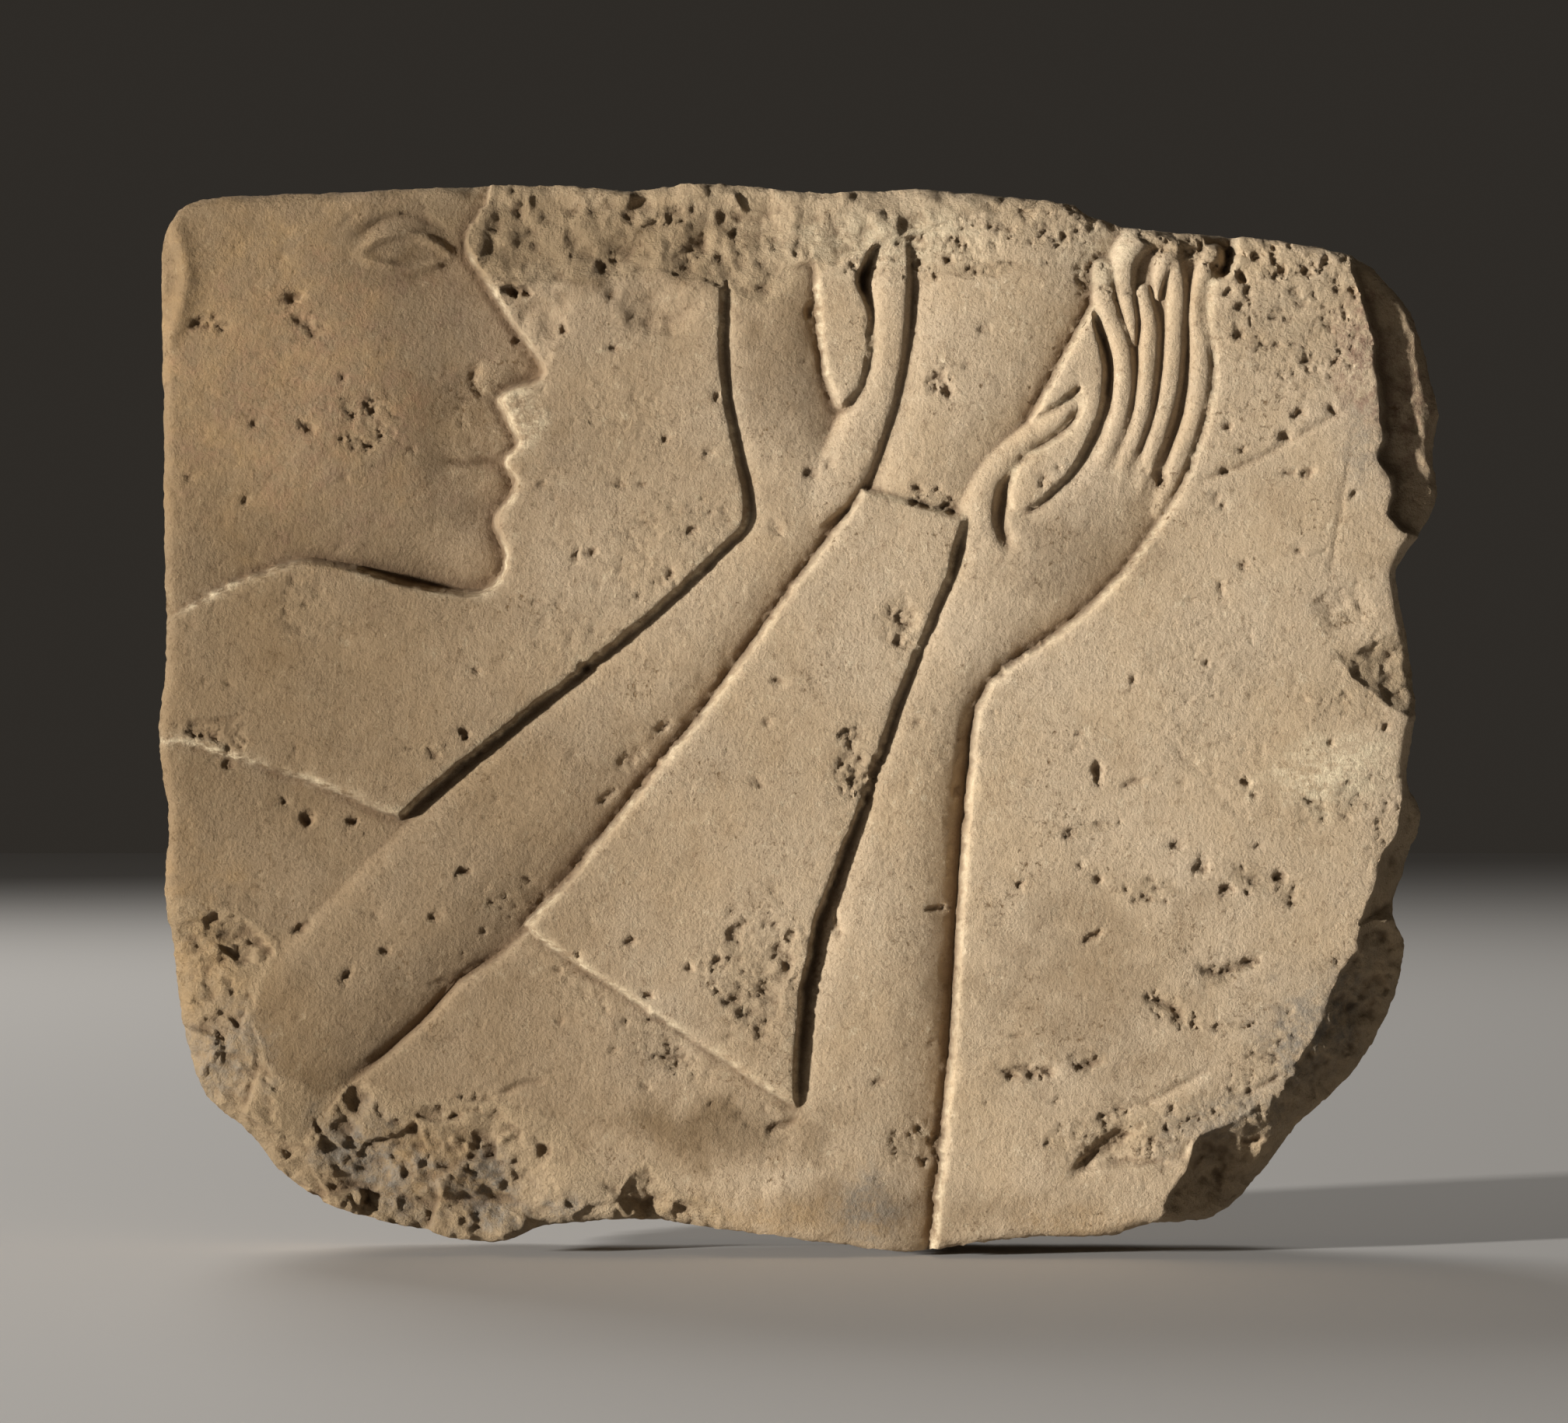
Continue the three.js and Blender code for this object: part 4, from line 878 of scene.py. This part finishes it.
# The back, sawn flat, out of true by a third of a millimetre here and there
last_ring = side_points[-1][::2][:, [0, 2]]
back = filled(last_ring * (1 - 0.6 / np.hypot(*last_ring.T))[:, None], columns // 2, rows // 2).reshape(-1, 2)
untrue = 0.17 * (1 + rubble(30, 87, 2, x=back[:, 0], z=back[:, 1])).clip(0)
back_points = np.column_stack([back[:, 0], -untrue, back[:, 1]])

count = len(face_points)
ring = len(border)
points = np.concatenate([face_points, side_points.reshape(-1, 3), back_points])
side_index = np.concatenate([face_edge[None], count + np.arange(levels * ring).reshape(levels, ring)])
side_index = np.concatenate([side_index, side_index[:, :1]], axis=1)
back_start = count + levels * ring
back_index = back_start + np.arange(len(back)).reshape(rows // 2 + 1, columns // 2 + 1)
face_quads = quads(np.arange(count).reshape(rows + 1, columns + 1))
side_quads = quads(side_index)[:, ::-1]
back_quads = quads(back_index)[:, ::-1]
last = side_index[-1]
inner = back_start + ring_order(columns // 2, rows // 2)
inner = np.append(inner, inner[0])
step = np.arange(ring // 2)
joints = np.concatenate([
    np.stack([last[2 * step + 1], inner[step], last[2 * step]], -1),
    np.stack([last[2 * step + 1], inner[step + 1], inner[step]], -1),
    np.stack([last[2 * step + 2], inner[step + 1], last[2 * step + 1]], -1),
])
four_sided = np.concatenate([face_quads, side_quads, back_quads])
corners = np.concatenate([four_sided.ravel(), joints.ravel()]).astype(np.int32)
sizes = np.concatenate([np.full(len(four_sided), 4), np.full(len(joints), 3)])
starts = np.concatenate([[0], np.cumsum(sizes)[:-1]]).astype(np.int32)

skin = bpy.data.meshes.new("limestone_skin")
skin.vertices.add(len(points))
skin.vertices.foreach_set("co", (points / 1000).astype(np.float32).ravel())
skin.loops.add(len(corners))
skin.loops.foreach_set("vertex_index", corners)
skin.polygons.add(len(sizes))
skin.polygons.foreach_set("loop_start", starts)
skin.update(calc_edges=True)
stone = bpy.data.objects.new("carved_limestone_panel", skin)
bpy.context.scene.collection.objects.link(stone)
thin = stone.modifiers.new("thin out even stone", "DECIMATE")
thin.ratio = triangles / (2 * len(four_sided) + len(joints))
thinned = bpy.data.meshes.new_from_object(stone.evaluated_get(bpy.context.evaluated_depsgraph_get()))
stone.modifiers.clear()
stone.data = thinned
thinned.shade_smooth()
thinned.set_sharp_from_angle(angle=np.radians(sharp_from))

# What the stone has been through, point by point, for its colour: how much of it is broken stone, where it
# has gone ochre, grey or plum brown, where it was scraped pale, where the edges of the cuts take pale wear
# and a painted highlight, and how deep it lies in a hollow, for painted shade and dirt.


def blotch(x, z, wide, tall, turn=0, ragged=0.5, seed=1):
    """A ragged-edged patch: 1 in the middle of an oval of the given half sizes, easing to 0 at its edge."""
    c, s = np.cos(np.radians(turn)), np.sin(np.radians(turn))
    dx, dz = X - x, Z - z
    away = np.hypot((dx * c + dz * s) / wide, (dz * c - dx * s) / tall)
    return ease(1.25 - away + ragged * rubble(9, seed, 4, 0.6))


ochre = np.maximum.reduce([
    blotch(-112, 78, 34, 38, 10, 0.8, 91), blotch(-130, -50, 14, 22, 0, 0.8, 92),
    blotch(-78, -96, 16, 9, -20, 0.9, 93), blotch(-10, -110, 34, 6, 0, 0.7, 94),
    blotch(60, -110, 16, 6, 0, 0.7, 95),
])
grey = np.maximum.reduce([
    blotch(-93, -97, 15, 9, -35, 0.9, 101), blotch(-70, -104, 22, 8, -15, 1.0, 102),
    blotch(-126, -74, 12, 13, 0, 0.6, 103) * 0.7, blotch(14, -106, 12, 9, 0, 0.6, 104) * 0.8,
    blotch(112, -66, 12, 18, -40, 0.6, 105), blotch(92, -88, 20, 7, 20, 0.6, 106) * 0.7,
    blotch(122, 60, 7, 14, 0, 0.6, 107) * 0.6,
])
plum = np.maximum.reduce([
    blotch(122, 78, 8, 18, 0, 0.7, 111), blotch(-104, 70, 30, 30, 0, 1.3, 112) * 0.45,
    blotch(132, 66, 7, 24, 0, 0.5, 113) * 0.8,
])
scraped_and_edge_highlight = np.maximum.reduce([
    blotch(116, -12, 16, 8, 12, 0.9, 121), blotch(66, 100, 12, 8, 10, 0.6, 122) * 0.5,
    blotch(20, 104, 22, 8, 0, 0.7, 123) * 0.7, blotch(-62, 66, 8, 12, 0, 0.7, 124) * 0.5,
])
# Painted shade with some dirt: how far the stone lies deeper than the stone round it, close by and over a
# wider reach
hollow_dirt_and_shade = 0.6 * ease((depth - soften(depth, 1.6)) / 0.9) + 0.2 * ease((depth - soften(depth, 7) - 0.4) / 2.8)
# The edges of the cuts: pale wear, and a painted highlight along the walls
arris_wear_and_highlight = np.exp(-np.abs(in_field + 0.3) / 0.8) * (in_field < 5.9) * untouched
scraped_and_edge_highlight = np.maximum(scraped_and_edge_highlight, arris_wear_and_highlight * ease(0.8 + grain(9, 126)))
# Darker to the left and in patches; the patch over the left of the top break is painted shade and dirt
darkening_and_painted_shade = ease((60 - X + 26 * rubble(46, 125, 3)) / 200) + 0.5 * np.maximum.reduce([
    blotch(-45, 104, 36, 11, 0, 0.8, 127), blotch(-4, 76, 12, 22, 0, 0.6, 128),
    blotch(60, 36, 20, 13, 25, 0.7, 129), blotch(-16, -90, 24, 9, 0, 0.7, 130) * 1.2,
    blotch(-92, -98, 32, 12, -25, 0.7, 131), blotch(24, -107, 40, 7, 0, 0.8, 132),
    blotch(62, -58, 28, 28, 0, 0.9, 133) * 0.8,
])
fresh = np.maximum(fresh, crumbling)

spots = np.empty(3 * len(thinned.vertices), np.float32)
thinned.vertices.foreach_get("co", spots)
spots = spots.reshape(-1, 3) * 1000
behind = ease((spots[:, 1] + thickness - sample(depth, spots[:, 0], spots[:, 2]) - 1.5) / 4)
for name, values, on_sides in (
    ("broken", fresh, 0.75), ("ochre", ochre, 0.35), ("grey", grey, 0.15), ("plum", plum, 0.0),
    ("scraped_and_edge_highlight", scraped_and_edge_highlight, 0.0), ("hollow_dirt_and_shade", hollow_dirt_and_shade, 0.2), ("darkening_and_painted_shade", darkening_and_painted_shade, 0.4),
):
    layer = thinned.attributes.new(name, "FLOAT", "POINT")
    here = sample(values, spots[:, 0], spots[:, 2])
    layer.data.foreach_set("value", (here * (1 - behind) + on_sides * behind).astype(np.float32))

# Soft porous limestone, rubbed smooth and long weathered: a matt buff surface with no gloss, mottled and
# finely pitted, that is pale along its worn edges, partly a painted highlight, and dark in its hollows with
# painted shade and dirt
limestone = bpy.data.materials.new("limestone, rubbed smooth, weathered")
limestone.use_nodes = True
tree = limestone.node_tree
tree.nodes.clear()


def lay(kind, settings=None, **sockets):
    """Adds a node of a kind, makes its settings, and gives each of its inputs a value or a link. Inputs
    are named as in Blender with _ for each space, or by number as n0, n1."""
    node = tree.nodes.new("ShaderNode" + kind)
    for name, value in (settings or {}).items():
        setattr(node, name, value)
    for name, value in sockets.items():
        socket = node.inputs[int(name[1:])] if name[1:].isdigit() else node.inputs[name.replace("_", " ")]
        if isinstance(value, bpy.types.NodeSocket):
            tree.links.new(value, socket)
        else:
            socket.default_value = value
    return node.outputs


place = lay("TexCoord")["Object"]


def speckle(mm, detail=4.0, roughness=0.6, stretch=(1, 1, 1)):
    """Noise whose lumps are about so many mm apart, from 0 to 1."""
    turned = lay("Mapping", Vector=place, Scale=stretch)["Vector"]
    return lay("TexNoise", Vector=turned, Scale=1000 / mm, Detail=detail, Roughness=roughness)["Fac"]


def between(value, low, high, start=0.0, end=1.0):
    """The value spread so that low to high becomes start to end, and held there outside."""
    return lay("MapRange", Value=value, From_Min=low, From_Max=high, To_Min=start, To_Max=end)["Result"]


def tinted(share, colour, over, blend="MIX"):
    """One colour laid over another in a given share."""
    return lay("Mix", {"data_type": "RGBA", "blend_type": blend}, n0=share, n6=over, n7=colour)[2]


def mask(name):
    """The piece's own attribute of that name, from 0 to 1."""
    return lay("Attribute", {"attribute_name": name})["Fac"]


def times(a, b):
    """The product of two values."""
    return lay("Math", {"operation": "MULTIPLY"}, n0=a, n1=b)[0]


# Buff stone, mottled over centimetres and speckled over tenths of a millimetre, darker to the left and in
# patches, one of which, over the top break, is painted shade as well as dirt
colour = tinted(between(speckle(34, 3), 0.35, 0.68), srgb("cdb79a"), srgb("c0a888"))
colour = tinted(between(speckle(7, 5, 0.7), 0.5, 0.75, 0, 0.5), srgb("a88f6f"), colour)
colour = tinted(between(speckle(2.2, 8, 0.88), 0.53, 0.66, 0, 0.75), srgb("795f42"), colour)
colour = tinted(between(speckle(2.9, 8, 0.86), 0.56, 0.68, 0, 0.75), srgb("e9d8b8"), colour)
colour = tinted(mask("darkening_and_painted_shade"), srgb("aaa295"), colour, "MULTIPLY")
# Paler, cleaner stone where it is broken, grains of it where it was scraped, and pale wear with a painted
# highlight along the edges of the cuts
colour = tinted(times(mask("broken"), 0.35), srgb("c2a985"), colour)
scratches = between(speckle(4, 7, 0.8, (1, 1, 2)), 0.42, 0.58)
colour = tinted(times(mask("scraped_and_edge_highlight"), scratches), srgb("e4d2b0"), colour)
# Old staining: ochre, grey with a blue cast, and plum brown, each breaking up into specks
for stain, shade, specks in (
    ("ochre", "a98a60", between(speckle(5, 6, 0.75), 0.36, 0.62, 0, 0.5)),
    ("grey", "827c72", between(speckle(3, 6, 0.75), 0.38, 0.6, 0, 0.8)),
    ("plum", "866454", between(speckle(2.5, 5, 0.75), 0.42, 0.62, 0, 0.75)),
):
    colour = tinted(times(mask(stain), specks), srgb(shade), colour)
# Painted shade with some dirt in it: darker colour in the hollows, at the foot of the cuts and in the finest
# pits
crowded = between(speckle(15, 3), 0.38, 0.66, 0.12, -0.05)
pits = lay("Math", {"operation": "ADD"}, n0=speckle(1.3, 5, 0.74), n1=crowded)[0]
pits = between(pits, 0.28, 0.4)
colour = tinted(mask("hollow_dirt_and_shade"), srgb("66503a"), colour)
# Painted shade and dirt in the finest pits
colour = tinted(pits, colour, srgb("7d6344"))

# Grain from a tenth of a millimetre up to 1.1 mm, rougher where the stone is broken, and the pits
uneven = between(speckle(17, 3), 0.35, 0.65, 0.6, 1.1)
grit = times(times(speckle(1.1, 6, 0.7), uneven), between(mask("broken"), 0, 1, 1, 2))
grit = lay("Math", {"operation": "ADD"}, n0=grit, n1=times(pits, 0.22))[0]
relief = lay("Bump", Height=grit, Strength=1.0, Distance=0.0008)["Normal"]
surface = lay("BsdfPrincipled", Base_Color=colour, Roughness=0.92, Specular_IOR_Level=0.25, Normal=relief)
lay("OutputMaterial", Surface=surface["BSDF"])
thinned.materials.append(limestone)

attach(stone, "root")
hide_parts("stone_panel")

bpy.context.view_layer.update()
